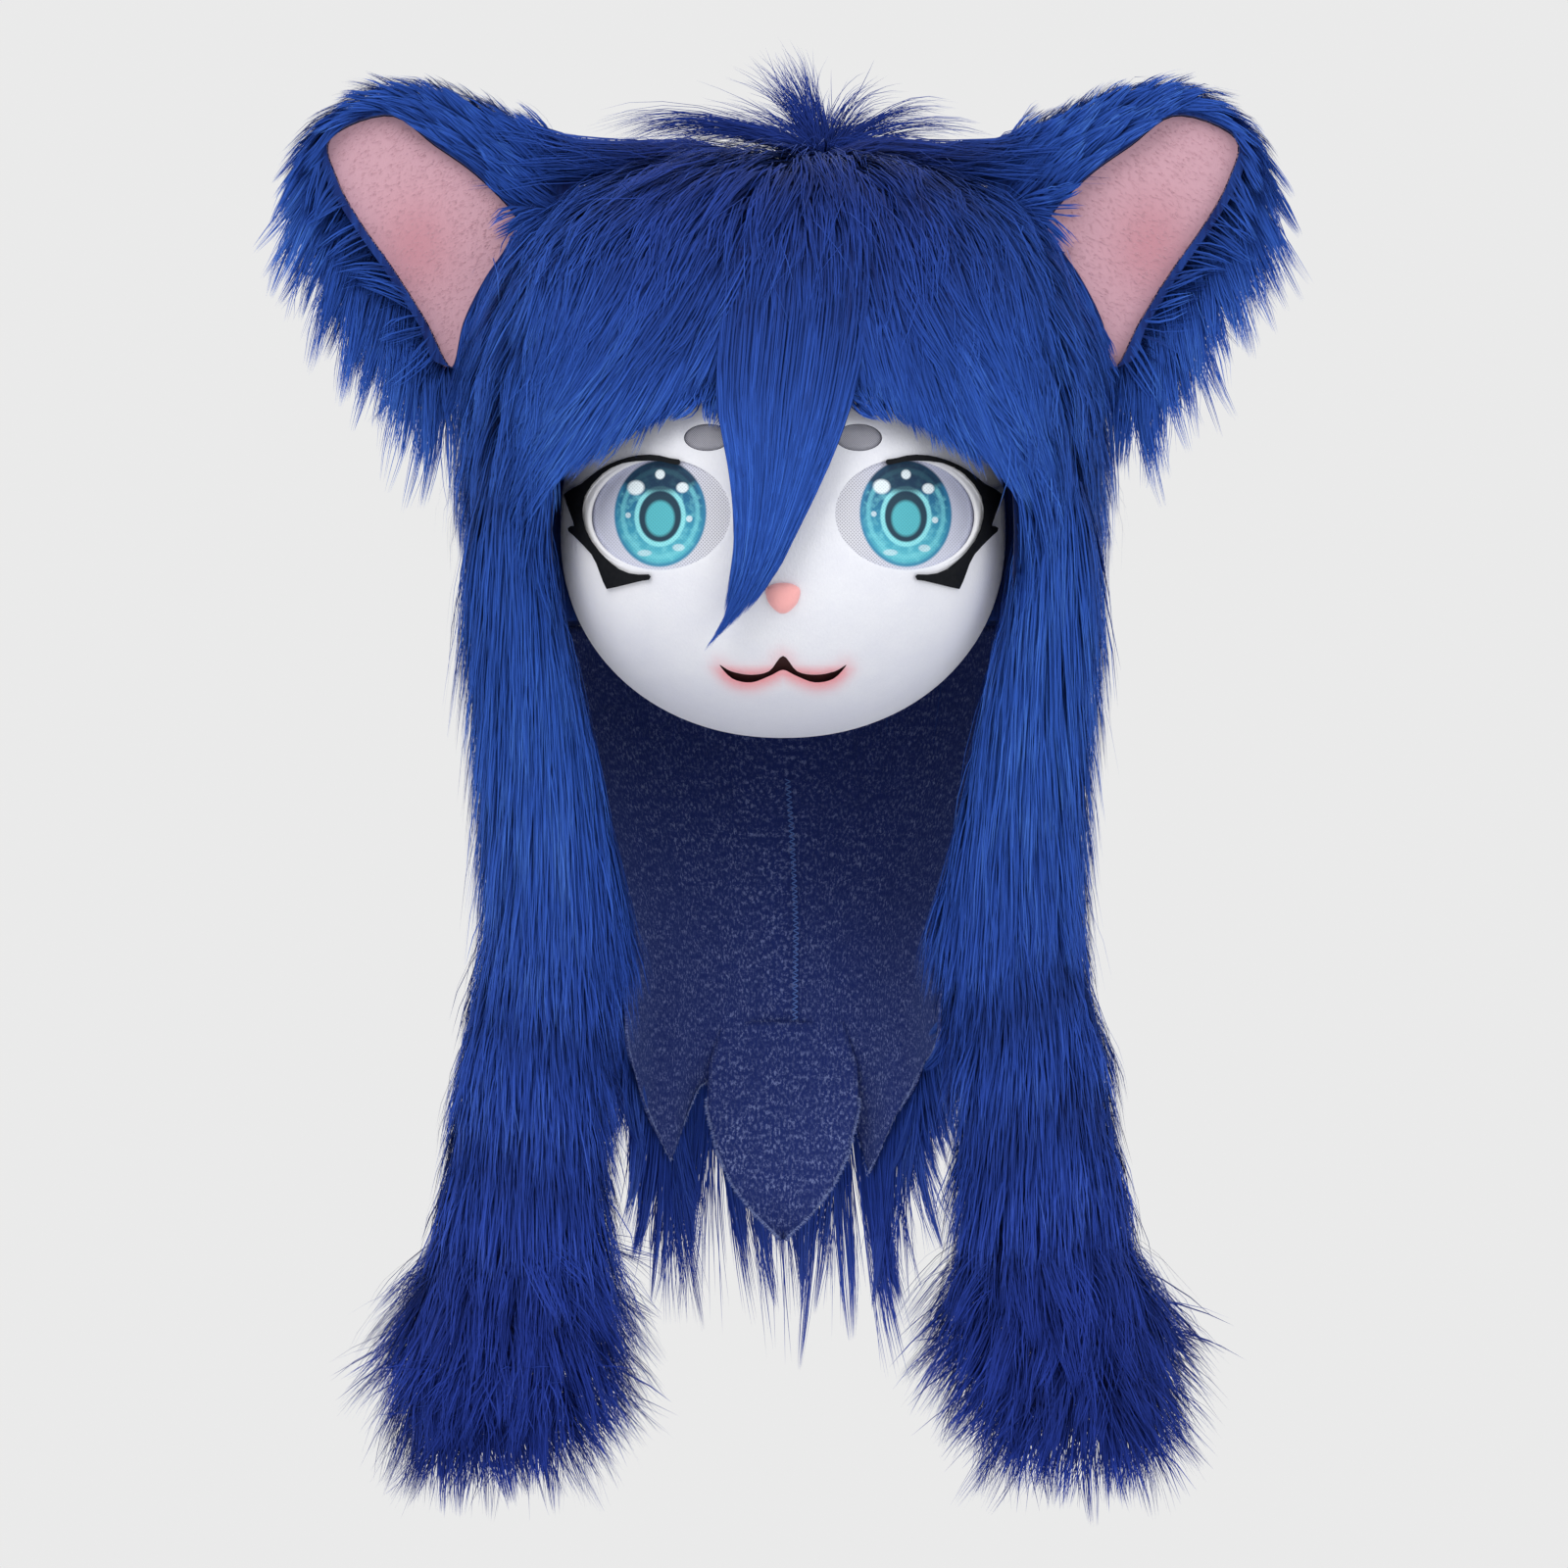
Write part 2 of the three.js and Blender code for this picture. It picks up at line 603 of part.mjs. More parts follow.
function lappetY(share) {
  return LAPPET_Y - LAPPET_TOP_FORWARD * (1 - share) ** 4;
}

function lappetCore(side, grow) {
  const steps = LAPPET_ROWS.length - 1;
  const geometry = new THREE.CylinderGeometry(1, 1, 1, LAPPET_SIDES, steps);
  geometry.rotateX(Math.PI / 2);
  const position = geometry.attributes.position;
  for (let i = 0; i < position.count; i += 1) {
    const step = Math.round((0.5 - position.getZ(i)) * steps);
    const share = LAPPET_ROWS[step].down;
    const row = lappetRow(share);
    const end = step === 0 ? grow : step === steps ? -grow : 0;
    position.setXYZ(
      i,
      side * row.centre + position.getX(i) * (row.halfWidth + grow),
      lappetY(share) + position.getY(i) * (row.halfDepth + grow),
      row.z + end,
    );
  }
  return solidOf(geometry);
}

// Locks of a lappet: share of the length at the root, angle round it, share of the lock length, flare
function lappetLocks(side, grow) {
  const tiers = [
    { down: 0.12, count: 4, length: 2.6, flare: 0.02, from: 0.1, turn: 0.8 },
    { down: 0.55, count: 4, length: 1.5, flare: 0.1, from: 0.3, turn: 1 },
    { down: 0.86, count: 7, length: 1.05, flare: 0.5, from: 0, turn: 1 },
    { down: 0.97, count: 6, length: 1.05, flare: 0.16, from: 0.5, turn: 1 },
  ];
  const locks = [];
  for (const tier of tiers) {
    for (let i = 0; i < tier.count; i += 1) {
      const angle = ((i + tier.from) / tier.count) * 2 * Math.PI * tier.turn;
      const row = lappetRow(tier.down);
      const out = new THREE.Vector3(side * Math.cos(angle), -Math.sin(angle), 0);
      const uneven = 0.85 + 0.3 * ((i * 5) % 3) / 2;
      const run = LAPPET_TIP_LENGTH * tier.length * uneven;
      const centre = new THREE.Vector3(side * row.centre, lappetY(tier.down), row.z);
      const root = centre.clone().add(new THREE.Vector3(
        out.x * row.halfWidth * LAPPET_LOCK_ROOT,
        out.y * row.halfDepth * LAPPET_LOCK_ROOT,
        run * LAPPET_LOCK_RISE,
      ));
      const tip = root.clone().addScaledVector(out, run * (tier.flare + 0.08));
      tip.z -= run * (1.25 - tier.flare);
      const middle = root.clone().lerp(tip, 0.5).addScaledVector(out, run * 0.1);
      locks.push(lock([root, middle, tip], LAPPET_LOCK_WIDTH, LAPPET_LOCK_DEPTH, grow, out));
    }
  }
  return locks;
}

function lappet(side) {
  const whole = join([lappetCore(side, 0), ...lappetLocks(side, 0)]);
  return mainBody(whole
    .subtract(roundForm(HOOD_FORM, ON_HOOD, HOOD_SEGMENTS))
    .subtract(roundForm(FACE_FORM, GAP * 2 + LASH_THICKNESS, FACE_SEGMENTS)));
}

// Tuft of stiff wisps on the crown: lean to the side, lean to the back, share of the height
const TUFT_WISPS = [
  [-0.25, 0.1, 1.0], [-0.75, 0.0, 0.9], [-1.3, -0.2, 0.8], [0.35, 0.1, 0.85], [0.95, 0.0, 0.85],
  [1.7, 0.1, 0.8], [0.1, 0.9, 0.8], [-0.6, 0.8, 0.75], [0.7, 0.9, 0.7], [0.1, -0.8, 0.6], [2.4, 0.5, 0.7],
];

function tuftBody(grow) {
  const top = ON_HOOD;
  const base = new THREE.SphereGeometry(TUFT_RADIUS + grow, 8, 4);
  base.translate(TUFT_X, HOOD_CENTRE_Y, top);
  const wisps = TUFT_WISPS.map(([side, back, height]) => {
    const run = TUFT_HEIGHT * height;
    const root = new THREE.Vector3(
      TUFT_X + side * TUFT_ROOT_SPREAD,
      HOOD_CENTRE_Y + back * TUFT_ROOT_SPREAD,
      top + TUFT_ROOT_RISE,
    );
    const tip = new THREE.Vector3(
      TUFT_X + side * run * TUFT_REACH_SHARE,
      HOOD_CENTRE_Y + back * run * TUFT_REACH_SHARE,
      top + TUFT_RADIUS * 0.6 + run * Math.min(1, 1.15 / (0.8 + Math.abs(side) * 0.5)),
    );
    const middle = root.clone().lerp(tip, 0.5);
    middle.z += run * 0.12;
    const outward = new THREE.Vector3(0, -1, 0.2);
    return lock([root, middle, tip], TUFT_LOCK_WIDTH, TUFT_LOCK_WIDTH * 0.6, grow, outward);
  });
  return join([solidOf(base), ...wisps]);
}

function crownTuft() {
  return tuftBody(0).subtract(roundForm(HOOD_FORM, ON_HOOD, HOOD_SEGMENTS));
}

// Locks lying on the dome, from the crown down to past the neck edge, with the lift of the tip
// as a share of FUR_LIFT
const FUR_TIERS = [
  { from: 0.2, to: 0.95, count: 8, start: 0.5, lift: 0.3 },
  { from: 0.7, to: 1.5, count: 10, start: 0.0, lift: 0.45 },
  { from: 1.3, to: 2.25, count: 14, start: 0.5, lift: 0.5 },
];

// Raised locks from the crown to each ear: azimuth, lift of the tip as a share of FUR_LIFT
const BRIDGE_LOCKS = [
  { azimuth: 1.36, lift: 0.9 }, { azimuth: 1.57, lift: 1.2 }, { azimuth: 1.8, lift: 0.8 },
];

// Place on the fur of the dome, which hangs straight down from HANG_POLAR on
function furPoint(azimuth, polar, lift) {
  const over = Math.max(0, polar - HANG_POLAR);
  const point = pointOn(HOOD_FORM, FUR_OUTSIDE + lift, heading(azimuth, Math.min(polar, HANG_POLAR)));
  point.z -= over * FUR_OVERHANG;
  return point;
}

function inFaceView(azimuth) {
  return Math.abs(Math.atan2(Math.sin(azimuth), Math.cos(azimuth))) < FACE_VIEW_ANGLE;
}

function domeLocks(grow) {
  const locks = [];
  for (const tier of FUR_TIERS) {
    for (let i = 0; i < tier.count; i += 1) {
      const azimuth = ((i + tier.start) / tier.count) * 2 * Math.PI;
      const low = inFaceView(azimuth) && tier.to > 1;
      if (!low) {
        const uneven = FUR_UNEVEN_SHARE * ((i * 7) % 4) / 3;
        const sway = FUR_SWAY * Math.sin(i * 2.4);
        const route = [0, 0.5, 1].map((share) => furPoint(
          azimuth + sway * share,
          tier.from + (tier.to + uneven - tier.from) * share,
          tier.lift * FUR_LIFT * share - FUR_LOCK_DEPTH / 2 + FUR_LOCK_RISE,
        ));
        const outward = heading(azimuth, (tier.from + tier.to) / 2);
        locks.push(lock(route, FUR_LOCK_WIDTH, FUR_LOCK_DEPTH, grow, outward));
      }
    }
  }
  for (const side of [-1, 1]) {
    for (const { azimuth, lift } of BRIDGE_LOCKS) {
      const route = [0, 0.5, 1].map((share) => furPoint(
        side * azimuth,
        BRIDGE_START + (BRIDGE_END - BRIDGE_START) * share,
        lift * FUR_LIFT * share - FUR_LOCK_DEPTH / 2,
      ));
      locks.push(lock(route, FUR_LOCK_WIDTH, FUR_LOCK_DEPTH, grow, new THREE.Vector3(0, 0, 1)));
    }
  }
  return locks;
}

function fringeZone(inset) {
  const wide = FRINGE_HALF_WIDTH - inset;
  const low = -NECK_EDGE_DEPTH - FACE_DROP;
  return block([-wide, NEAR, low], [wide, -HOOD_FRONT * FRINGE_BACK_SHARE, -FRINGE_TOP_DEPTH - inset]);
}

function hoodFur(neighbours) {
  const layer = roundForm(HOOD_FORM, FUR_OUTSIDE, HOOD_SEGMENTS).subtract(belowNeck(NECK_EDGE_DEPTH));
  let fur = join([layer, ...domeLocks(0)])
    .subtract(roundForm(HOOD_FORM, ON_HOOD, HOOD_SEGMENTS))
    .subtract(faceOpening(FACE_OPENING_MARGIN))
    .subtract(fringeZone(0));
  for (const neighbour of neighbours) {
    fur = fur.subtract(neighbour);
  }
  return mainBody(fur);
}

// Bang locks: root and tip as shares of the fringe half-width, tip as a share of the fringe length
const BANG_LOCKS = [
  { root: 0.2, tip: 0.33, end: 0.623 }, { root: 0.33, tip: 0.47, end: 0.698 },
  { root: 0.46, tip: 0.62, end: 0.764 }, { root: 0.6, tip: 0.78, end: 0.84 },
  { root: 0.75, tip: 0.9, end: 0.925 }, { root: 0.86, tip: 0.97, end: 1.0 },
];
// Locks that hang beside the face, in the same shares
const SIDE_LOCKS = [
  { root: 0.9, tip: 0.94, start: 0.311, end: 1.349 },
  { root: 0.8, tip: 0.88, start: 0.283, end: 1.038 },
];
const CENTRE_ROUTE = [
  { across: 0.0, down: 0.0 }, { across: 0.0, down: 0.32 }, { across: -0.02, down: 0.58 },
  { across: -0.08, down: 0.78 }, { across: -0.21, down: 1.0 },
];

function fringe(neighbours) {
  const band = roundForm(HOOD_FORM, FUR_OUTSIDE, HOOD_SEGMENTS)
    .intersect(block(
      [-FRINGE_HALF_WIDTH, NEAR, -FACE_OPENING_TOP + FACE_OPENING_MARGIN + GAP],
      [FRINGE_HALF_WIDTH, -HOOD_FRONT * FRINGE_BACK_SHARE - GAP, -FRINGE_TOP_DEPTH],
    ));
  const locks = [];
  for (const side of [-1, 1]) {
    for (const bang of BANG_LOCKS) {
      const rootX = side * bang.root * FRINGE_HALF_WIDTH;
      const tipX = side * bang.tip * FRINGE_HALF_WIDTH;
      const rootZ = -FRINGE_TOP_DEPTH - BANG_ROOT_DROP;
      const tipZ = -FRINGE_TOP_DEPTH - bang.end * FRINGE_LENGTH;
      const middleX = (rootX + tipX) / 2;
      const middleZ = (rootZ + tipZ) / 2;
      const lift = FUR_OUTSIDE - FRINGE_LOCK_DEPTH * 0.3;
      const clear = FRINGE_LOCK_DEPTH;
      locks.push(lock([
        new THREE.Vector3(rootX, frontY(HOOD_FORM, lift, rootX, rootZ), rootZ),
        new THREE.Vector3(middleX, frontY(HOOD_FORM, lift + SIDE_LOCK_SINK, middleX, middleZ), middleZ),
        new THREE.Vector3(tipX, Math.min(
          frontY(HOOD_FORM, lift, tipX, tipZ),
          frontY(FACE_FORM, clear, tipX, tipZ),
        ), tipZ),
      ], FRINGE_LOCK_WIDTH, FRINGE_LOCK_DEPTH, 0, new THREE.Vector3(side * 0.4, -1, 0.2)));
    }
  }
  for (const side of [-1, 1]) {
    for (const strand of SIDE_LOCKS) {
      const route = [0, 0.5, 1].map((share) => {
        const x = side * (strand.root + (strand.tip - strand.root) * share) * FRINGE_HALF_WIDTH;
        const fall = strand.start + (strand.end - strand.start) * share;
        const z = -FRINGE_TOP_DEPTH - fall * FRINGE_LENGTH;
        const y = frontY(HOOD_FORM, FUR_OUTSIDE - SIDE_LOCK_SINK, x, Math.max(z, -NECK_EDGE_DEPTH));
        return new THREE.Vector3(x, y, z);
      });
      locks.push(lock(route, FRINGE_LOCK_WIDTH, FRINGE_LOCK_DEPTH, 0, new THREE.Vector3(side * 0.5, -1, 0)));
    }
  }
  for (const shift of CENTRE_SHIFTS) {
    const route = CENTRE_ROUTE.map(({ across, down }) => {
      const x = across * CENTRE_LOCK_LENGTH + shift * CENTRE_LOCK_WIDTH * CENTRE_SPREAD_SHARE * (1 - down);
      const reach = down * (1 - Math.abs(shift) * 0.35);
      const z = -FRINGE_TOP_DEPTH - CENTRE_LOCK_DROP - reach * CENTRE_LOCK_LENGTH;
      const onHood = frontY(HOOD_FORM, FUR_OUTSIDE - SIDE_LOCK_SINK, x, Math.max(z, -FACE_OPENING_TOP));
      const onFace = frontY(FACE_FORM, FRINGE_LOCK_DEPTH, x, z);
      return new THREE.Vector3(x, Math.min(onHood, onFace), z);
    });
    const width = CENTRE_LOCK_WIDTH * CENTRE_STRAND_SHARE;
    locks.push(lock(route, width, FRINGE_LOCK_DEPTH, 0, new THREE.Vector3(0, -1, 0.1)));
  }
  let hair = join([band, ...locks])
    .subtract(roundForm(HOOD_FORM, ON_HOOD, HOOD_SEGMENTS))
    .subtract(roundForm(FACE_FORM, GAP * 2 + LASH_THICKNESS, FACE_SEGMENTS))
    .intersect(fringeZone(GAP));
  for (const neighbour of neighbours) {
    hair = hair.subtract(neighbour);
  }
  return mainBody(hair);
}

// Place on the cloth behind the neck: across from -1 to 1, z below the neck edge, distance outwards
function napePoint(across, z, outward) {
  const share = Math.min(1, Math.max(0, (-NECK_EDGE_DEPTH - z) / (NAPE_LENGTH * NAPE_BEND_SHARE)));
  const ease = share * share * (3 - 2 * share);
  const girth = girthAt(HOOD_FORM, HOOD_WALL / 2, -NECK_EDGE_DEPTH);
  const mix = (top, foot) => top + (foot - top) * ease;
  const halfWidth = mix((HOOD_HALF_WIDTH + HOOD_WALL / 2) * girth, NAPE_HALF_WIDTH) + outward;
  const middleY = mix(HOOD_CENTRE_Y, NAPE_FOOT_Y);
  const bow = mix((HOOD_BACK + HOOD_WALL / 2) * girth, NAPE_FOOT_BOW) + outward;
  const angle = across * Math.PI / 2;
  const power = 2 / HOOD_ROUNDNESS;
  const x = Math.sign(across) * Math.abs(Math.sin(angle)) ** power;
  return new THREE.Vector3(halfWidth * x, middleY + bow * Math.abs(Math.cos(angle)) ** power, z);
}

// Lower edge of the cloth: place across, share of the length
const NAPE_EDGE = [
  [-1.0, 0.735], [-0.8, 0.8], [-0.62, 0.89], [-0.47, 0.97], [-0.31, 0.84], [-0.15, 0.8], [0.0, 0.79],
  [0.2, 0.83], [0.31, 1.0], [0.47, 0.89], [0.7, 0.79], [1.0, 0.735],
];

function napeEdge(across) {
  const after = Math.max(1, NAPE_EDGE.findIndex(([place]) => place >= across - 1e-9));
  const [lowPlace, lowShare] = NAPE_EDGE[after - 1];
  const [highPlace, highShare] = NAPE_EDGE[after];
  return lowShare + (highShare - lowShare) * (across - lowPlace) / (highPlace - lowPlace);
}

// Sheet that hangs from the neck edge down to a lower edge, between two distances outwards
function napeSheet(columns, rows, inner, outer, lowerEdge) {
  const geometry = new THREE.BoxGeometry(1, 1, 1, columns, 1, rows);
  const position = geometry.attributes.position;
  for (let i = 0; i < position.count; i += 1) {
    const across = position.getX(i) * 2;
    const foot = -NECK_EDGE_DEPTH - lowerEdge(across) * NAPE_LENGTH;
    const share = 0.5 - position.getZ(i);
    const z = -NECK_EDGE_DEPTH - GAP + (foot + NECK_EDGE_DEPTH) * share;
    const point = napePoint(across, z, position.getY(i) > 0 ? outer : inner);
    position.setXYZ(i, point.x, point.y, point.z);
  }
  return solidOf(geometry);
}

// Centre point of the cloth, which curls forward: share down, share of the half width
const PETAL_ROWS = [
  [0, 0.8], [0.2, 0.97], [0.4, 1.0], [0.6, 0.86], [0.75, 0.66], [0.88, 0.38], [1.0, 0.03],
];

function centrePetal() {
  const rows = PETAL_ROWS.length - 1;
  const geometry = new THREE.BoxGeometry(1, 1, 1, 6, 1, rows);
  const position = geometry.attributes.position;
  const top = -NECK_EDGE_DEPTH - NAPE_LENGTH * NAPE_BEND_SHARE;
  for (let i = 0; i < position.count; i += 1) {
    const [down, wide] = PETAL_ROWS[Math.round((0.5 - position.getZ(i)) * rows)];
    const z = top - down * PETAL_LENGTH;
    const x = position.getX(i) * 2 * wide * PETAL_HALF_WIDTH;
    const behind = NAPE_FOOT_Y + NAPE_FOOT_BOW + PETAL_SINK;
    const curl = PETAL_CURL * Math.sin(Math.min(1, down * 1.3) * Math.PI / 2);
    const cup = PETAL_CUP * (2 * position.getX(i)) ** 2 * (0.4 + down);
    const y = behind - curl - cup + position.getY(i) * NAPE_THICKNESS;
    position.setXYZ(i, x, y, z);
  }
  return solidOf(geometry);
}

function napePanel() {
  return join([napeSheet(NAPE_COLUMNS, NAPE_ROWS, 0, NAPE_THICKNESS, napeEdge), centrePetal()]);
}

// Rows of locks on the nape fur: place down the cloth, tip lift as a share of NAPE_LOCK_LIFT
const NAPE_TIERS = [
  { down: 0.34, count: 7, lift: 1, bulge: 0 },
  { down: 0.74, count: 10, lift: 1 / 3, bulge: NAPE_MIDDLE_BULGE },
];

function napeFurBody(grow) {
  const inner = NAPE_THICKNESS + GAP;
  const outer = inner + NAPE_FUR_DEPTH + grow;
  const lowerEdge = (across) => napeEdge(across) * NAPE_FUR_SHARE;
  const pieces = [napeSheet(NAPE_COLUMNS, NAPE_ROWS, inner, outer, lowerEdge)];
  NAPE_TIERS.forEach((tier, level) => {
    for (let i = 0; i < tier.count; i += 1) {
      const across = NAPE_FUR_SHARE * (2 * i / (tier.count - 1) - 1);
      const uneven = NAPE_LOCK_SHORTEST + NAPE_LOCK_UNEVEN * ((i * 5 + level) % 4) / 3;
      const bulge = 1 + tier.bulge * Math.cos(across * Math.PI / 2);
      const run = NAPE_LOCK_LENGTH * uneven * bulge;
      const rootZ = -NECK_EDGE_DEPTH - NAPE_LENGTH * tier.down;
      const route = [0, 0.5, 1].map((share) => napePoint(
        across * (1 - NAPE_LOCK_GATHER * share),
        rootZ - run * share,
        outer - NAPE_LOCK_SINK + tier.lift * NAPE_LOCK_LIFT * share,
      ));
      const outward = route[0].clone().sub(new THREE.Vector3(0, HOOD_CENTRE_Y, rootZ)).normalize();
      pieces.push(lock(route, NAPE_LOCK_WIDTH, NAPE_LOCK_DEPTH, grow, outward));
    }
  });
  return join(pieces);
}

function napeFur() {
  const clothSide = napeSheet(
    NAPE_COLUMNS, NAPE_ROWS, -NAPE_LOCK_DEPTH * 2, NAPE_THICKNESS + GAP,
    (across) => napeEdge(across) + NAPE_EDGE_MARGIN,
  );
  return mainBody(napeFurBody(0).subtract(clothSide));
}

// The assembly
const head = new THREE.Group();
head.add(meshOf('hood_shell', hoodShell(), FOAM_GREY, 0.9));
head.add(meshOf('face_mask', faceMask(), PLUSH_WHITE, 0.85));
const grown = [tuftBody(FUR_GAP), napeFurBody(FUR_GAP)];
for (const [side, word] of [[-1, 'left'], [1, 'right']]) {
  head.add(meshOf(`ear_${word}`, ear(side), FUR_BLUE, 0.9));
  head.add(meshOf(`ear_lining_${word}`, earLining(side), PLUSH_PINK, 0.85));
  head.add(meshOf(`lappet_${word}`, lappet(side), FUR_BLUE, 0.9));
  head.add(meshOf(`eye_mesh_${word}`, meshInsert(eyeOutline(side, -GAP)), MESH_TEAL, 0.5));
  head.add(meshOf(`brow_mesh_${word}`, meshInsert(browOutline(side, -GAP)), MESH_GREY, 0.6));
  head.add(meshOf(`lash_${word}`, lash(side), LINER_BLACK, 0.6));
  grown.push(join([earPad(side, FUR_GAP), ...earLocks(side, FUR_GAP)]));
  grown.push(join([lappetCore(side, FUR_GAP), ...lappetLocks(side, FUR_GAP)]));
}
head.add(meshOf('crown_tuft', crownTuft(), FUR_BLUE, 0.9));
head.add(meshOf('hood_fur', hoodFur(grown), FUR_BLUE, 0.9));
head.add(meshOf('fringe', fringe(grown), FUR_BLUE, 0.9));
head.add(meshOf('nose', nose(), NOSE_PINK, 0.8));
head.add(meshOf('mouth_screen', mouthScreen(), LINER_BLACK, 0.8));
head.add(meshOf('nape_panel', napePanel(), KNIT_NAVY, 0.9));
head.add(meshOf('nape_fur', napeFur(), FUR_BLUE, 0.9));

export default head;
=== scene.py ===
import math

import bmesh
import bpy
import numpy as np
from bpy.props import FloatProperty, FloatVectorProperty, IntProperty, PointerProperty
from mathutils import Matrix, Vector, kdtree
from mathutils.geometry import delaunay_2d_cdt


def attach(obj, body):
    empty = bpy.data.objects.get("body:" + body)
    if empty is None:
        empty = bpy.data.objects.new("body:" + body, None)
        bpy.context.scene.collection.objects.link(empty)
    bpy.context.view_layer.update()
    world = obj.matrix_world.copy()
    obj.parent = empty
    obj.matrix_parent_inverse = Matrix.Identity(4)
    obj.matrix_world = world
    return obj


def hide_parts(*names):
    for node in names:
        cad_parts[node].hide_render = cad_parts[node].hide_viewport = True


bl_info = {
    "name": "Cat Fur Head",
    "version": (1, 0, 0),
    "blender": (4, 5, 0),
    "location": "View3D > Sidebar > Fur Head",
    "description": "Dresses a cat head costume: plush face, mesh eyes, long fur and knit-backed cloth",
    "category": "Add Mesh",
}

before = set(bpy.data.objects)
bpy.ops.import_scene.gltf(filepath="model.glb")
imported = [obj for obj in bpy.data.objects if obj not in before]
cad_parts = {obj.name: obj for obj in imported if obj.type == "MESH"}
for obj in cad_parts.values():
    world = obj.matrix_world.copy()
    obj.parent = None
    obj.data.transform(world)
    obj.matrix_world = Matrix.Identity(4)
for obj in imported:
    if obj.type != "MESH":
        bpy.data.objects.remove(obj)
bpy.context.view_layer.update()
MM = 0.001
BODY = "root"
QUARTER_TURN = math.pi / 2
SIDES = ((-1, "left"), (1, "right"))

# Places and shapes that several pieces share, the same as the frame's; SKIN is the dome's outside,
# where the fur is rooted
HOOD_MIDDLE = 0.010
HOOD_ROUNDNESS = 2.5
FACE_MIDDLE = -0.020
FACE_LEVEL = -0.190
FACE_ROUNDNESS = 2.1
OPENING_TOP = -0.112
SKIN = 0.0065
EYE_X, EYE_Z = 0.065, -0.1825
BROW_X, BROW_Z = 0.0385, -0.1435
RIM_WIDTH = 0.005


def size(name, default, description):
    return FloatProperty(name=name, default=default, description=description, unit="LENGTH", precision=4)


def tint(name, default, description):
    return FloatVectorProperty(
        name=name, default=default, description=description, subtype="COLOR", size=3, min=0, max=1
    )


class HeadSizes(bpy.types.PropertyGroup):
    """Sizes of the head's main forms"""
    hood_half_width: size("Dome half width", 0.150, "Inside half width of the dome")
    hood_rise: size("Dome rise", 0.125, "From the dome's widest level up to its crown")
    hood_drop: size("Dome drop", 0.190, "From the dome's widest level down")
    hood_front: size("Dome front", 0.125, "From the dome's middle forwards")
    hood_back: size("Dome back", 0.150, "From the dome's middle backwards")
    hood_wall: size("Dome wall", 0.006, "Thickness of the padded dome wall")
    neck_depth: size("Neck edge depth", 0.235, "Depth of the neck edge under the crown")
    face_half_width: size("Face half width", 0.116, "Half width of the face egg")
    face_rise: size("Face rise", 0.150, "From the face's widest level up")
    face_drop: size("Face drop", 0.106, "From the face's widest level down to the chin")
    face_depth: size("Face depth", 0.115, "How far the face stands out")
    face_wall: size("Face wall", 0.004, "Thickness of the plush face and its shell")
    eye_width: size("Eye width", 0.077, "Width of an eye opening")
    eye_height: size("Eye height", 0.058, "Height of an eye opening")
    lappet_length: size("Lappet length", 0.500, "Length of a hanging fur lappet")
    lappet_reach: size("Lappet reach", 0.206, "Reach of a lappet's end from the middle")
    nape_length: size("Nape cloth length", 0.295, "Length of the cloth behind the neck")
    petal_length: size("Petal length", 0.116, "Length of the middle petal of the cloth")


class HairSizes(bpy.types.PropertyGroup):
    """Lengths and counts of the fur"""
    strand_width: size("Strand width", 0.00086, "Width of one ribbon of fur")
    dome_length: size("Dome fur length", 0.062, "Length of the fur on the dome")
    lappet_fur: size("Lappet fur length", 0.050, "Length of the fur on a lappet")
    ear_fur: size("Ear fur length", 0.036, "Length of the fur on an ear")
    ear_fringe: size("Ear fringe length", 0.058, "Length of the long locks on an ear's outer edge")
    tuft_height: size("Tuft height", 0.063, "Height of the stiff wisps on the crown")
    nape_fur: size("Nape fur length", 0.100, "Length of the fringe below the cloth")
    dome_count: IntProperty(name="Dome strands", default=34000, description="Ribbons of fur on the dome")
    fringe_count: IntProperty(name="Front strands", default=18500, description="Ribbons in the front hair")
    lappet_count: IntProperty(name="Lappet strands", default=21000, description="Ribbons on each lappet")
    ear_count: IntProperty(name="Ear strands", default=9000, description="Ribbons on each ear")
    nape_count: IntProperty(name="Nape strands", default=15000, description="Ribbons on the cloth's fur side")


class HeadColours(bpy.types.PropertyGroup):
    """Colours, as linear values"""
    # fur_root is painted shade deep between the locks; fur_tip is painted light on the tips
    fur_root: tint("Fur root", (0.006, 0.014, 0.092), "Fur deep between the locks")
    fur_body: tint("Fur", (0.024, 0.090, 0.45), "Fur along most of a strand")
    fur_tip: tint("Fur tip", (0.088, 0.24, 0.68), "Lit tips of the fur")
    plush: tint("White plush", (0.80, 0.81, 0.86), "Short plush of the face")
    blush: tint("Airbrush", (0.80, 0.22, 0.25), "Airbrushed colour round the mouth")
    pink: tint("Pink plush", (0.60, 0.355, 0.42), "Lining of the ears")
    nose: tint("Nose", (0.94, 0.45, 0.44), "Plush of the nose")
    liner: tint("Eyeliner", (0.006, 0.007, 0.009), "Black pieces round the eyes")
    knit: tint("Knit backing", (0.030, 0.052, 0.25), "Navy yarn of the knit backing")
    fleck: tint("Knit fleck", (0.38, 0.46, 0.82), "Pale yarn in the knit backing")
    iris: tint("Iris", (0.018, 0.15, 0.29), "Main colour of the iris")
    stage: tint("Stage", (0.80, 0.80, 0.80), "Floor and surroundings")


def sizes():
    return bpy.context.scene.head_sizes


def hair():
    return bpy.context.scene.hair_sizes


def colours():
    return bpy.context.scene.head_colours


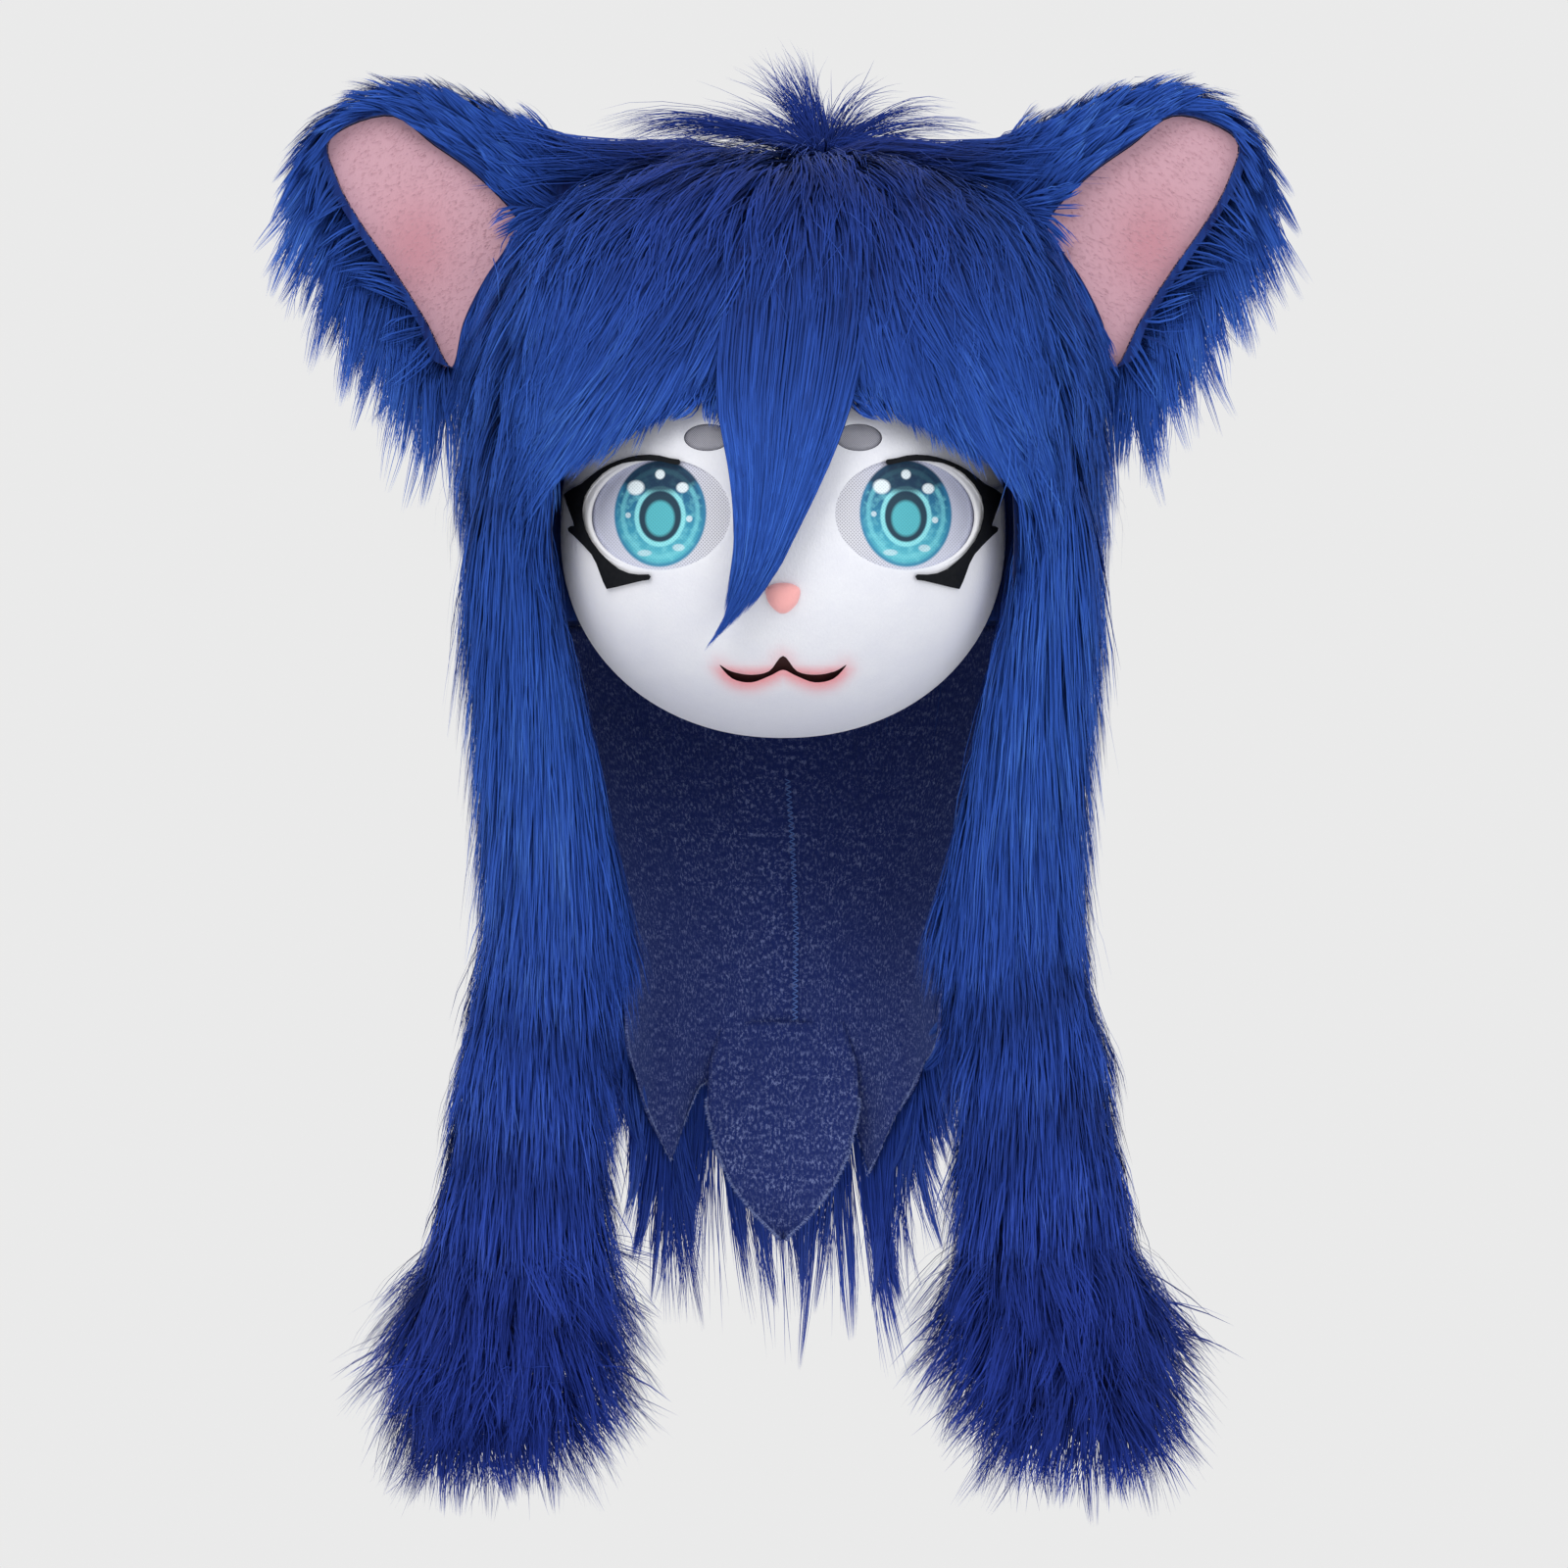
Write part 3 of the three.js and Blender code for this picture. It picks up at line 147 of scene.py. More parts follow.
# Rounded forms, with the same centre, half sizes and roundness as the frame's
class Form:
    def __init__(self, centre, half_width, rise, drop, front, back, roundness):
        self.centre = np.array(centre)
        self.half_width = half_width
        self.rise = rise
        self.drop = drop
        self.front = front
        self.back = back
        self.roundness = roundness

    def halves(self, away, grow):
        reach = np.empty_like(away)
        reach[..., 0] = self.half_width
        reach[..., 1] = np.where(away[..., 1] > 0, self.back, self.front)
        reach[..., 2] = np.where(away[..., 2] > 0, self.rise, self.drop)
        return reach + np.asarray(grow)[..., None]

    def settle(self, points, grow):
        """Points moved along the line from the centre onto the form grown by a distance."""
        away = points - self.centre
        share = np.abs(away) / self.halves(away, grow)
        total = np.maximum((share ** self.roundness).sum(-1), 1e-12)
        return self.centre + away * (total ** (-1 / self.roundness))[..., None]

    def outward(self, points):
        away = points - self.centre
        reach = self.halves(away, np.zeros(away.shape[:-1]))
        slope = np.sign(away) * (np.abs(away) / reach) ** (self.roundness - 1) / reach
        return unit(slope)

    def front_y(self, grow, x, z):
        rise = z - self.centre[2]
        height = np.where(rise > 0, self.rise, self.drop) + grow
        level = np.minimum(1, np.abs(rise) / height)
        girth = np.maximum((1 - level ** self.roundness), 0) ** (1 / self.roundness)
        across = np.minimum(1, np.abs(x) / np.maximum((self.half_width + grow) * girth, 1e-6))
        depth = (self.front + grow) * girth * (1 - across ** self.roundness) ** (1 / self.roundness)
        return self.centre[1] - depth

    def laid(self, grow):
        """The depth at (x, z) of a sheet that lies on the form grown by a distance."""
        return lambda x, z: float(self.front_y(grow, x, z))


def unit(vectors):
    return vectors / np.maximum(np.linalg.norm(vectors, axis=-1, keepdims=True), 1e-12)


def hood_form():
    s = sizes()
    return Form((0, HOOD_MIDDLE, -s.hood_rise), s.hood_half_width, s.hood_rise, s.hood_drop,
                s.hood_front, s.hood_back, HOOD_ROUNDNESS)


def face_form():
    s = sizes()
    return Form((0, FACE_MIDDLE, FACE_LEVEL), s.face_half_width, s.face_rise, s.face_drop,
                s.face_depth, s.face_depth, FACE_ROUNDNESS)


# Mesh helpers
def piece_of(name, mesh, material, replaced=None, sharp=None):
    """An object at the origin that rides on the head and may stand for a frame node."""
    mesh.materials.append(material)
    mesh.shade_smooth()
    if sharp:
        mesh.set_sharp_from_angle(angle=math.radians(sharp))
    piece = bpy.data.objects.new(name, mesh)
    bpy.context.collection.objects.link(piece)
    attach(piece, BODY)
    if replaced:
        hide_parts(replaced)
    return piece


def points_of(mesh):
    points = np.empty(len(mesh.vertices) * 3)
    mesh.vertices.foreach_get("co", points)
    return points.reshape(-1, 3)


def put(mesh, key, values):
    """Values on a mesh's points, for its material to read."""
    layer = mesh.attributes.new(key, "FLOAT", "POINT")
    layer.data.foreach_set("value", np.asarray(values, np.float32))


def mesh_from(bm, name):
    mesh = bpy.data.meshes.new(name)
    bm.to_mesh(mesh)
    bm.free()
    return mesh


def round_bmesh(form, grow, rings, segments):
    """A closed rounded form, made from a sphere."""
    bm = bmesh.new()
    bmesh.ops.create_uvsphere(bm, u_segments=segments, v_segments=rings, radius=1)
    power = 2 / form.roundness
    for vert in bm.verts:
        ring = math.hypot(vert.co.x, vert.co.y)
        across = vert.co.x / ring if ring > 1e-9 else 0
        along = vert.co.y / ring if ring > 1e-9 else 0
        girth = ring ** power
        depth = (form.back if along > 0 else form.front) + grow
        height = (form.rise if vert.co.z > 0 else form.drop) + grow
        vert.co = Vector((
            form.centre[0] + (form.half_width + grow) * girth * soften(across, power),
            form.centre[1] + depth * girth * soften(along, power),
            form.centre[2] + height * soften(vert.co.z, power),
        ))
    return bm


def soften(value, power):
    return math.copysign(abs(value) ** power, value)


def prism_bmesh(outline, near, far):
    """A closed block with the outline (x, z) in the front view, from depth near to far."""
    bm = bmesh.new()
    bm.faces.new([bm.verts.new((x, near, z)) for x, z in outline])
    return thicken(bm, far - near)


def block_bmesh(low, high):
    bm = bmesh.new()
    bmesh.ops.create_cube(bm, size=1)
    low, high = Vector(low), Vector(high)
    for vert in bm.verts:
        vert.co = Vector([(low[i] + high[i]) / 2 + vert.co[i] * (high[i] - low[i]) for i in range(3)])
    return bm


def carved(bm, steps, name):
    """The mesh of a bmesh after each (operation, bmesh) step of cutting or joining."""
    mesh = mesh_from(bm, name)
    body = bpy.data.objects.new(name + "_uncut", mesh)
    bpy.context.collection.objects.link(body)
    tools = []
    for operation, tool_bm in steps:
        tool = bpy.data.objects.new(name + "_tool", mesh_from(tool_bm, name + "_tool"))
        bpy.context.collection.objects.link(tool)
        tools.append(tool)
        cut = body.modifiers.new("Cut", "BOOLEAN")
        cut.operation = operation
        cut.solver = "EXACT"
        cut.object = tool
    bpy.context.view_layer.update()
    graph = bpy.context.evaluated_depsgraph_get()
    result = bpy.data.meshes.new_from_object(body.evaluated_get(graph))
    result.name = name
    for item in [body, *tools]:
        old = item.data
        bpy.data.objects.remove(item)
        bpy.data.meshes.remove(old)
    return result


def smooth_loop(points, count):
    """A closed smooth outline through points in a plane."""
    points = [Vector(p) for p in points]
    total = len(points)
    loop = []
    for i in range(count):
        place = i * total / count
        k = int(place)
        t = place - k
        a, b, c, d = (points[(k + j) % total] for j in (-1, 0, 1, 2))
        loop.append(0.5 * ((2 * b) + (c - a) * t + (2 * a - 5 * b + 4 * c - d) * t * t
                           + (3 * b - a - 3 * c + d) * t ** 3))
    return [tuple(p) for p in loop]


def ellipse(x, z, half_width, half_height, count):
    return [(x + half_width * math.cos(i * math.tau / count),
             z + half_height * math.sin(i * math.tau / count)) for i in range(count)]


def within(points, outline):
    """True for points (x, z) inside a closed outline."""
    inside = np.zeros(len(points), bool)
    for (ax, az), (bx, bz) in zip(outline, outline[1:] + outline[:1]):
        if az != bz:
            crossing = (az > points[:, 1]) != (bz > points[:, 1])
            inside ^= crossing & (points[:, 0] < ax + (bx - ax) * (points[:, 1] - az) / (bz - az))
    return inside


def patch_bmesh(outline, depth_at, pitch):
    """An outline filled with small triangles and laid on a curved surface that faces forwards."""
    ring = []
    for point, after in zip(outline, outline[1:] + outline[:1]):
        parts = max(1, int(math.dist(point, after) / pitch))
        for j in range(parts):
            part = j / parts
            ring.append((point[0] + (after[0] - point[0]) * part, point[1] + (after[1] - point[1]) * part))
    edge = np.array(ring)
    low, high = edge.min(axis=0), edge.max(axis=0)
    columns, rows = np.meshgrid(np.arange(low[0], high[0], pitch), np.arange(low[1], high[1], pitch))
    grid = np.stack([columns.ravel(), rows.ravel()], axis=1)
    clear = np.linalg.norm(grid[:, None] - edge[None], axis=2).min(axis=1) > pitch * 0.5
    spots = [Vector(spot) for spot in ring] + [Vector(spot) for spot in grid[clear & within(grid, ring)]]
    links = [(i, (i + 1) % len(ring)) for i in range(len(ring))]
    found, _, faces, *_ = delaunay_2d_cdt(spots, links, [], 1, 1e-7)
    bm = bmesh.new()
    verts = [bm.verts.new((spot.x, depth_at(spot.x, spot.y), spot.y)) for spot in found]
    for face in faces:
        bm.faces.new([verts[i] for i in face])
    face_front(bm)
    return bm


def face_front(bm):
    """Turns the faces of an open sheet to the front."""
    bmesh.ops.recalc_face_normals(bm, faces=bm.faces[:])
    if sum(face.normal.y * face.calc_area() for face in bm.faces) > 0:
        bmesh.ops.reverse_faces(bm, faces=bm.faces[:])


def thicken(bm, wall):
    """A sheet given a wall behind it."""
    bmesh.ops.translate(bm, verts=extruded(bm), vec=(0, wall, 0))
    bmesh.ops.recalc_face_normals(bm, faces=bm.faces[:])
    return bm


def extruded(bm):
    """The points of a new copy of a sheet, joined to it by walls."""
    run = bmesh.ops.extrude_face_region(bm, geom=bm.faces[:])
    return [item for item in run["geom"] if isinstance(item, bmesh.types.BMVert)]


def patch_piece(name, outline, depth_at, pitch, wall, material, replaced, sharp=None):
    """A piece cut from a sheet and laid on a curved surface."""
    bm = thicken(patch_bmesh(outline, depth_at, pitch), wall)
    return piece_of(name, mesh_from(bm, name), material, replaced, sharp)


# Node helpers
class Nodes:
    """A material's node tree, with short ways to add and join nodes."""
    def __init__(self, name):
        self.material = bpy.data.materials.new(name)
        self.material.use_nodes = True
        self.tree = self.material.node_tree
        self.shader = self.tree.nodes["Principled BSDF"]

    def add(self, kind, settings=None, **inputs):
        node = self.tree.nodes.new(kind)
        for key, value in (settings or {}).items():
            setattr(node, key, value)
        for key, value in inputs.items():
            self.feed(node.inputs[key.replace("_", " ")], value)
        return node

    def feed(self, socket, value):
        if isinstance(value, bpy.types.NodeSocket):
            self.tree.links.new(value, socket)
        else:
            socket.default_value = value

    def place(self):
        return self.add("ShaderNodeTexCoord").outputs["Object"]

    def attribute(self, name):
        node = self.add("ShaderNodeAttribute", {"attribute_name": name})
        return node.outputs["Fac"]

    def math(self, operation, first, second=0.5, clamp=False):
        node = self.add("ShaderNodeMath", {"operation": operation, "use_clamp": clamp})
        self.feed(node.inputs[0], first)
        self.feed(node.inputs[1], second)
        return node.outputs[0]

    def plus(self, first, second, clamp=False):
        return self.math("ADD", first, second, clamp)

    def times(self, first, second):
        return self.math("MULTIPLY", first, second)

    def noise(self, vector, scale, detail=3.0, stretch=None, rough=0.55):
        if stretch:
            vector = self.add("ShaderNodeMapping", Vector=vector, Scale=stretch).outputs[0]
        node = self.add("ShaderNodeTexNoise", Vector=vector, Scale=scale, Detail=detail, Roughness=rough)
        return node.outputs["Fac"]

    def span(self, value, low, high, out_low=0.0, out_high=1.0):
        node = self.add("ShaderNodeMapRange", {"clamp": True})
        for i, item in enumerate((value, low, high, out_low, out_high)):
            self.feed(node.inputs[i], item)
        return node.outputs[0]

    def mix(self, share, first, second, blend="MIX"):
        node = self.add("ShaderNodeMix", {"data_type": "RGBA", "blend_type": blend})
        self.feed(node.inputs[0], share)
        self.feed(node.inputs[6], colour_of(first))
        self.feed(node.inputs[7], colour_of(second))
        return node.outputs[2]

    def ramp(self, value, stops):
        node = self.add("ShaderNodeValToRGB", Fac=value)
        points = node.color_ramp.elements
        while len(points) < len(stops):
            points.new(0.5)
        for point, (place, shade) in zip(points, stops):
            point.position = place
            point.color = colour_of(shade)
        return node.outputs["Color"]

    def bump(self, height, strength, distance):
        node = self.add("ShaderNodeBump", Strength=strength, Distance=distance, Height=height)
        self.feed(self.shader.inputs["Normal"], node.outputs[0])

    def finish(self, colour, roughness, sheen=0.0, sheen_tint=(1, 1, 1), specular=0.5):
        self.feed(self.shader.inputs["Base Color"], colour_of(colour))
        self.feed(self.shader.inputs["Roughness"], roughness)
        self.feed(self.shader.inputs["Sheen Weight"], sheen)
        self.feed(self.shader.inputs["Sheen Roughness"], 0.5)
        self.feed(self.shader.inputs["Sheen Tint"], colour_of(sheen_tint))
        self.feed(self.shader.inputs["Specular IOR Level"], specular)
        return self.material


def colour_of(value):
    if isinstance(value, (bpy.types.NodeSocket, int, float)):
        return value
    return (*tuple(value)[:3], 1.0)


def dim(colour, share):
    return [value * share for value in colour]


def kept(name, make):
    """A material made once and shared."""
    return bpy.data.materials.get(name) or make(Nodes(name))


def shared(name):
    """Turns a function that fills a node tree into one that gives the shared material."""
    return lambda make: lambda: kept(name, make)


@shared("royal_blue_fur")
def fur_material(n):
    c = colours()
    along = n.attribute("along")
    tone = n.attribute("tone")
    uv = n.add("ShaderNodeUVMap", {"uv_map": "hair"}).outputs[0]
    streaks = n.noise(uv, 5.0, 3.0, (2.2, 0.22, 1.0), 0.7)
    place = n.noise(n.place(), 9.0, 2.0)
    # Along each strand: painted shade at the root, painted light towards the tip
    level = n.plus(n.times(along, 0.40), n.times(tone, 0.44))
    level = n.plus(level, n.span(streaks, 0.32, 0.68, -0.18, 0.23))
    level = n.plus(level, n.span(place, 0.35, 0.65, -0.06, 0.08), clamp=True)
    shade = n.ramp(level, [
        (0.0, c.fur_root), (0.30, dim(c.fur_body, 0.60)), (0.62, c.fur_body), (1.0, c.fur_tip),
    ])
    parts = n.add("ShaderNodeSeparateXYZ", Vector=n.place())
    height, aside = parts.outputs[2], n.math("ABSOLUTE", parts.outputs[0])
    low = n.span(height, -0.30, -0.60, 0.0, 1.0)
    shade = n.mix(low, shade, (0.74, 0.50, 0.74), "MULTIPLY")
    # Painted shade: fur on the top of the head is darkened, most towards the middle
    crown = n.times(n.span(height, -0.16, 0.0, 0.0, 1.0), n.span(aside, 0.07, 0.15, 1.0, 0.15))
    shade = n.mix(crown, shade, (0.60, 0.46, 0.62), "MULTIPLY")
    return n.finish(shade, 0.68, sheen=0.08, sheen_tint=(0.2, 0.4, 1.0), specular=0.10)


@shared("fur_backing")
def underfur_material(n):
    c = colours()
    grain = n.noise(n.place(), 60.0, 4.0, (3.0, 3.0, 0.35))
    shade = n.mix(n.span(grain, 0.35, 0.7), c.fur_root, dim(c.fur_body, 0.6))
    n.bump(grain, 0.8, 0.003)
    return n.finish(shade, 0.85, sheen=0.1, specular=0.1)


@shared("white_plush_nap")
def plush_material(n):
    c = colours()
    blush = n.attribute("blush")
    shade = n.attribute("shade")
    nap = n.noise(n.place(), 900.0, 3.0, (1.0, 1.0, 0.6))
    patches = n.noise(n.place(), 38.0, 3.0, (1.0, 1.0, 1.6))
    base = n.mix(n.span(patches, 0.35, 0.65, 0, 0.35), c.plush, (0.70, 0.71, 0.80))
    base = n.mix(n.span(nap, 0.25, 0.75, 0.12, 0.0), base, (0.50, 0.52, 0.62))
    # Painted light towards the sides of the face (negative shade) and painted shade under the chin (positive)
    base = n.mix(n.span(shade, 0.0, -1.0), base, (0.98, 0.98, 1.0))
    base = n.mix(n.span(shade, 0.0, 1.0), base, (0.40, 0.41, 0.55))
    base = n.mix(n.times(blush, n.span(nap, 0.2, 0.8, 0.75, 1.0)), base, c.blush)
    n.bump(n.plus(n.times(nap, 0.6), n.times(patches, 0.8)), 0.35, 0.0012)
    return n.finish(base, 0.95, sheen=0.85, sheen_tint=(0.95, 0.96, 1.0), specular=0.12)


def pink_material(name, tone, dent_shade):
    def make(n):
        nap = n.noise(n.place(), 700.0, 3.0, (1.0, 1.0, 0.45))
        patches = n.noise(n.place(), 30.0, 2.0, (1.0, 1.0, 0.7))
        base = n.mix(n.span(patches, 0.3, 0.7, 0, 0.3), tone, dim(tone, 0.86))
        # Painted shade where the points' shade values rise
        base = n.mix(n.attribute("shade"), base, dent_shade)
        base = n.mix(n.span(nap, 0.25, 0.75, 0.08, 0.0), base, dim(tone, 0.6))
        n.bump(n.plus(nap, patches), 0.16, 0.0010)
        return n.finish(base, 0.92, sheen=0.5, sheen_tint=(1.0, 0.82, 0.86), specular=0.12)
    return kept(name, make)


@shared("black_felt_liner")
def liner_material(n):
    grain = n.noise(n.place(), 420.0, 3.0)
    base = n.mix(n.span(grain, 0.3, 0.7), colours().liner, (0.010, 0.011, 0.013))
    n.bump(grain, 0.2, 0.0004)
    return n.finish(base, 0.8, specular=0.12)


def dots(n, vector, pitch, low, high):
    """A staggered field of small round holes: 1 in a hole."""
    turn = n.add("ShaderNodeMapping", Vector=vector, Rotation=(0, 0, math.pi / 4),
                 Scale=(1 / pitch, 1 / pitch, 1 / pitch)).outputs[0]
    cell = n.add("ShaderNodeVectorMath", {"operation": "FRACTION"})
    n.feed(cell.inputs[0], turn)
    centred = n.add("ShaderNodeVectorMath", {"operation": "SUBTRACT"})
    n.feed(centred.inputs[0], cell.outputs[0])
    centred.inputs[1].default_value = (0.5, 0.5, 0.0)
    flat = n.add("ShaderNodeVectorMath", {"operation": "MULTIPLY"})
    n.feed(flat.inputs[0], centred.outputs[0])
    flat.inputs[1].default_value = (1, 1, 0)
    reach = n.add("ShaderNodeVectorMath", {"operation": "LENGTH"})
    n.feed(reach.inputs[0], flat.outputs[0])
    return n.span(reach.outputs["Value"], low, high, 1.0, 0.0)


@shared("printed_eye_mesh")
def eye_material(n):
    """Printed eye mesh: the UV map runs in metres from the middle of the iris."""
    c = colours()
    place = n.add("ShaderNodeUVMap", {"uv_map": "print"}).outputs[0]
    parts = n.add("ShaderNodeSeparateXYZ", Vector=place)
    x, z = parts.outputs[0], parts.outputs[1]

    def oval(at_x, at_z, wide, high):
        dx = n.math("DIVIDE", n.math("SUBTRACT", x, at_x), wide)
        dz = n.math("DIVIDE", n.math("SUBTRACT", z, at_z), high)
        squares = n.plus(n.times(dx, dx), n.times(dz, dz))
        return n.math("SQRT", squares)

    def inside(reach, soft=0.04):
        return n.span(reach, 1 - soft, 1 + soft, 1.0, 0.0)

    reach = oval(0, 0, 0.0237, 0.0272)
    climb = n.span(z, -0.026, 0.026)
    cloud = n.noise(place, 210.0, 3.0)
    tone = n.ramp(climb, [
        (0.0, (0.11, 0.52, 0.62)), (0.33, (0.045, 0.31, 0.46)),
        (0.62, c.iris), (1.0, (0.012, 0.055, 0.13)),
    ])
    tone = n.mix(n.span(cloud, 0.48, 0.66, 0, 0.45), tone, (0.22, 0.70, 0.76))
    ring = n.times(n.span(reach, 0.74, 0.79), n.span(reach, 0.84, 0.88, 1.0, 0.0))
    tone = n.mix(n.times(ring, 0.55), tone, (0.20, 0.66, 0.74))
    rim = n.span(reach, 0.90, 0.96)
    tone = n.mix(n.times(rim, 0.8), tone, (0.03, 0.20, 0.38))
    halo = oval(0, -0.0015, 0.0128, 0.0150)
    band = n.times(n.span(halo, 0.80, 0.88), n.span(halo, 1.0, 1.06, 1.0, 0.0))
    tone = n.mix(n.times(band, 0.8), tone, (0.30, 0.80, 0.84))
    pupil = inside(oval(0, -0.0015, 0.0108, 0.0130))
    tone = n.mix(pupil, tone, (0.014, 0.045, 0.075))
    core = inside(oval(0, -0.0025, 0.0074, 0.0090), 0.10)
    tone = n.mix(n.times(core, 0.85), tone, (0.10, 0.52, 0.60))
    lid = n.span(n.plus(z, n.times(n.times(x, x), -14.0)), 0.0085, 0.0125)
    tone = n.mix(n.times(lid, 0.88), tone, (0.006, 0.024, 0.06))
    for at_x, at_z, wide, high, strength in (
        (-0.0125, 0.0135, 0.0042, 0.0036, 0.95), (0.0, 0.0200, 0.0024, 0.0024, 0.9),
        (0.0115, 0.0130, 0.0030, 0.0026, 0.9), (0.0150, -0.0030, 0.0016, 0.0016, 0.7),
        (-0.0165, -0.0005, 0.0014, 0.0014, 0.6), (0.0095, -0.0175, 0.0030, 0.0018, 0.5),
        (-0.0080, -0.0200, 0.0036, 0.0016, 0.45),
    ):
        light = n.times(inside(oval(at_x, at_z, wide, high), 0.18), strength)
        tone = n.mix(light, tone, (0.80, 0.90, 0.95))
    # Painted shade: the sclera darkens towards the top, under the liner
    lilac = n.mix(n.span(z, -0.02, 0.03), (0.64, 0.66, 0.78), (0.48, 0.50, 0.66))
    holes = dots(n, place, 0.00125, 0.20, 0.36)
    nearer = n.attribute("nearer")
    lilac = n.mix(n.span(nearer, 0.1, 0.8, 0.0, 0.75), lilac, (0.66, 0.66, 0.70))
    depth = n.span(nearer, 0.0, 0.6, 0.34, 0.66)
    sclera = n.mix(n.times(holes, depth), lilac, (0.15, 0.15, 0.19))
    iris = n.mix(n.times(holes, 0.22), tone, (0.01, 0.05, 0.08))
    whole = n.mix(inside(reach, 0.02), sclera, iris)
    n.bump(n.math("SUBTRACT", 1.0, holes), 0.3, 0.0002)
    return n.finish(whole, 0.55, specular=0.25)


def mesh_material(name, cloth, hole):
    def make(n):
        flat = n.add("ShaderNodeMapping", Vector=n.place(), Rotation=(QUARTER_TURN, 0, 0)).outputs[0]
        holes = dots(n, flat, 0.0008, 0.24, 0.36)
        grain = n.noise(n.place(), 120.0)
        base = n.mix(n.span(grain, 0.3, 0.7, 0, 0.4), cloth, dim(cloth, 0.8))
        base = n.mix(n.times(holes, 0.7), base, hole)
        n.bump(n.math("SUBTRACT", 1.0, holes), 0.4, 0.0002)
        return n.finish(base, 0.7, specular=0.2)
    return kept(name, make)


@shared("heathered_navy_knit")
def knit_material(n):
    c = colours()
    uv = n.add("ShaderNodeUVMap", {"uv_map": "cloth"}).outputs[0]
    fleck = n.noise(uv, 640.0, 4.0, (1.0, 0.6, 1.0), 0.75)
    slub = n.noise(uv, 130.0, 3.0, (0.8, 1.7, 1.0), 0.6)
    cloud = n.noise(uv, 16.0, 2.0)
    amount = n.times(n.span(fleck, 0.50, 0.60), n.span(slub, 0.40, 0.60, 0.22, 1.0))
    # Painted shade: the knit is darker and less flecked towards the top, where the chin and lappets shade it
    down = n.span(n.add("ShaderNodeSeparateXYZ", Vector=n.place()).outputs[2], -0.50, -0.27, 0.84, 0.56)
    amount = n.times(amount, n.times(down, n.span(cloud, 0.3, 0.7, 0.65, 1.0)))
    base = n.mix(n.times(down, 0.6), dim(c.knit, 0.5), c.knit)
    base = n.mix(n.times(amount, 0.85), base, c.fleck)
    rows = n.add("ShaderNodeTexWave", {"bands_direction": "X"}, Vector=uv, Scale=210.0,
                 Distortion=1.5).outputs["Fac"]
    n.bump(n.plus(n.times(rows, 0.5), fleck), 0.7, 0.0008)
    return n.finish(base, 0.95, sheen=0.14, sheen_tint=(0.3, 0.45, 1.0), specular=0.08)


@shared("pale_fray")
def fray_material(n):
    yarn = n.mix(n.attribute("tone"), (0.08, 0.12, 0.34), (0.26, 0.32, 0.56))
    return n.finish(yarn, 0.9, sheen=0.2, specular=0.1)


@shared("blue_overlock_thread")
def thread_material(n):
    grain = n.noise(n.place(), 2500.0, 2.0)
    base = n.mix(grain, (0.05, 0.12, 0.42), (0.16, 0.30, 0.72))
    n.bump(grain, 0.4, 0.0002)
    return n.finish(base, 0.6, sheen=0.2, specular=0.3)


# Strands: ribbons that narrow to a tip, in clumps
def ribbon_arrays(paths, facing, widths, rng):
    """Points, faces and values of ribbons along paths (count, steps + 1, 3), each wide across its facing."""
    count, rows = paths.shape[:2]
    steps = rows - 1
    tangent = unit(np.gradient(paths, axis=1))
    across = unit(np.cross(tangent, facing))
    flat = np.cross(across, tangent)
    roll = rng.normal(0, 0.22, count)[:, None, None]
    across = across * np.cos(roll) + flat * np.sin(roll)
    share = np.linspace(0, 1, rows)
    profile = np.interp(share, [0, 0.3, 0.75, 1], [0.75, 1.0, 0.72, 0.0])[None, :, None]
    half = across * widths[:, None, None] * profile / 2
    pairs = np.stack([paths - half, paths + half], axis=2)[:, :steps].reshape(count, steps * 2, 3)
    verts = np.concatenate([pairs, paths[:, -1:]], axis=1).reshape(-1, 3)
    per = steps * 2 + 1
    start = (np.arange(count) * per)[:, None, None]
    row = np.arange(steps - 1)[None, :, None] * 2
    quads = (start + row + np.array([0, 1, 3, 2])[None, None]).reshape(-1, 4)
    tips = start[:, 0] + np.array([per - 3, per - 2, per - 1])[None]
    along = np.append(np.repeat(share[:-1], 2), 1.0)
    return verts, quads, tips, np.tile(along, count), per


def hair_mesh(name, batches, rng):
    """One mesh of all the batches of strands (paths, facing, widths, tone)."""
    verts, quads, tris, along, tone, across = [], [], [], [], [], []
    base = 0
    for paths, facing, widths, shades in batches:
        v, q, t, a, per = ribbon_arrays(paths, facing, widths, rng)
        verts.append(v)
        quads.append(q + base)
        tris.append(t + base)
        along.append(a)
        tone.append(np.repeat(shades, per))
        place = rng.uniform(0, 60, len(paths))
        side = np.tile(np.append(np.tile([0.0, 1.0], (per - 1) // 2), 0.5), len(paths))
        across.append(np.stack([np.repeat(place, per) + side, a * 2 + np.repeat(place, per)], axis=1))
        base += len(v)
    verts = np.concatenate(verts)
    quads = np.concatenate(quads)
    tris = np.concatenate(tris)
    mesh = bpy.data.meshes.new(name)
    mesh.vertices.add(len(verts))
    mesh.vertices.foreach_set("co", verts.astype(np.float32).ravel())
    corners = np.concatenate([tris.ravel(), quads.ravel()]).astype(np.int32)
    mesh.loops.add(len(corners))
    mesh.loops.foreach_set("vertex_index", corners)
    mesh.polygons.add(len(tris) + len(quads))
    starts = np.concatenate([np.arange(len(tris)) * 3, len(tris) * 3 + np.arange(len(quads)) * 4])
    mesh.polygons.foreach_set("loop_start", starts.astype(np.int32))
    mesh.update(calc_edges=True)
    put(mesh, "along", np.concatenate(along))
    put(mesh, "tone", np.concatenate(tone))
    spread = mesh.uv_layers.new(name="hair")
    spread.uv.foreach_set("vector", np.concatenate(across)[corners].astype(np.float32).ravel())
    return mesh


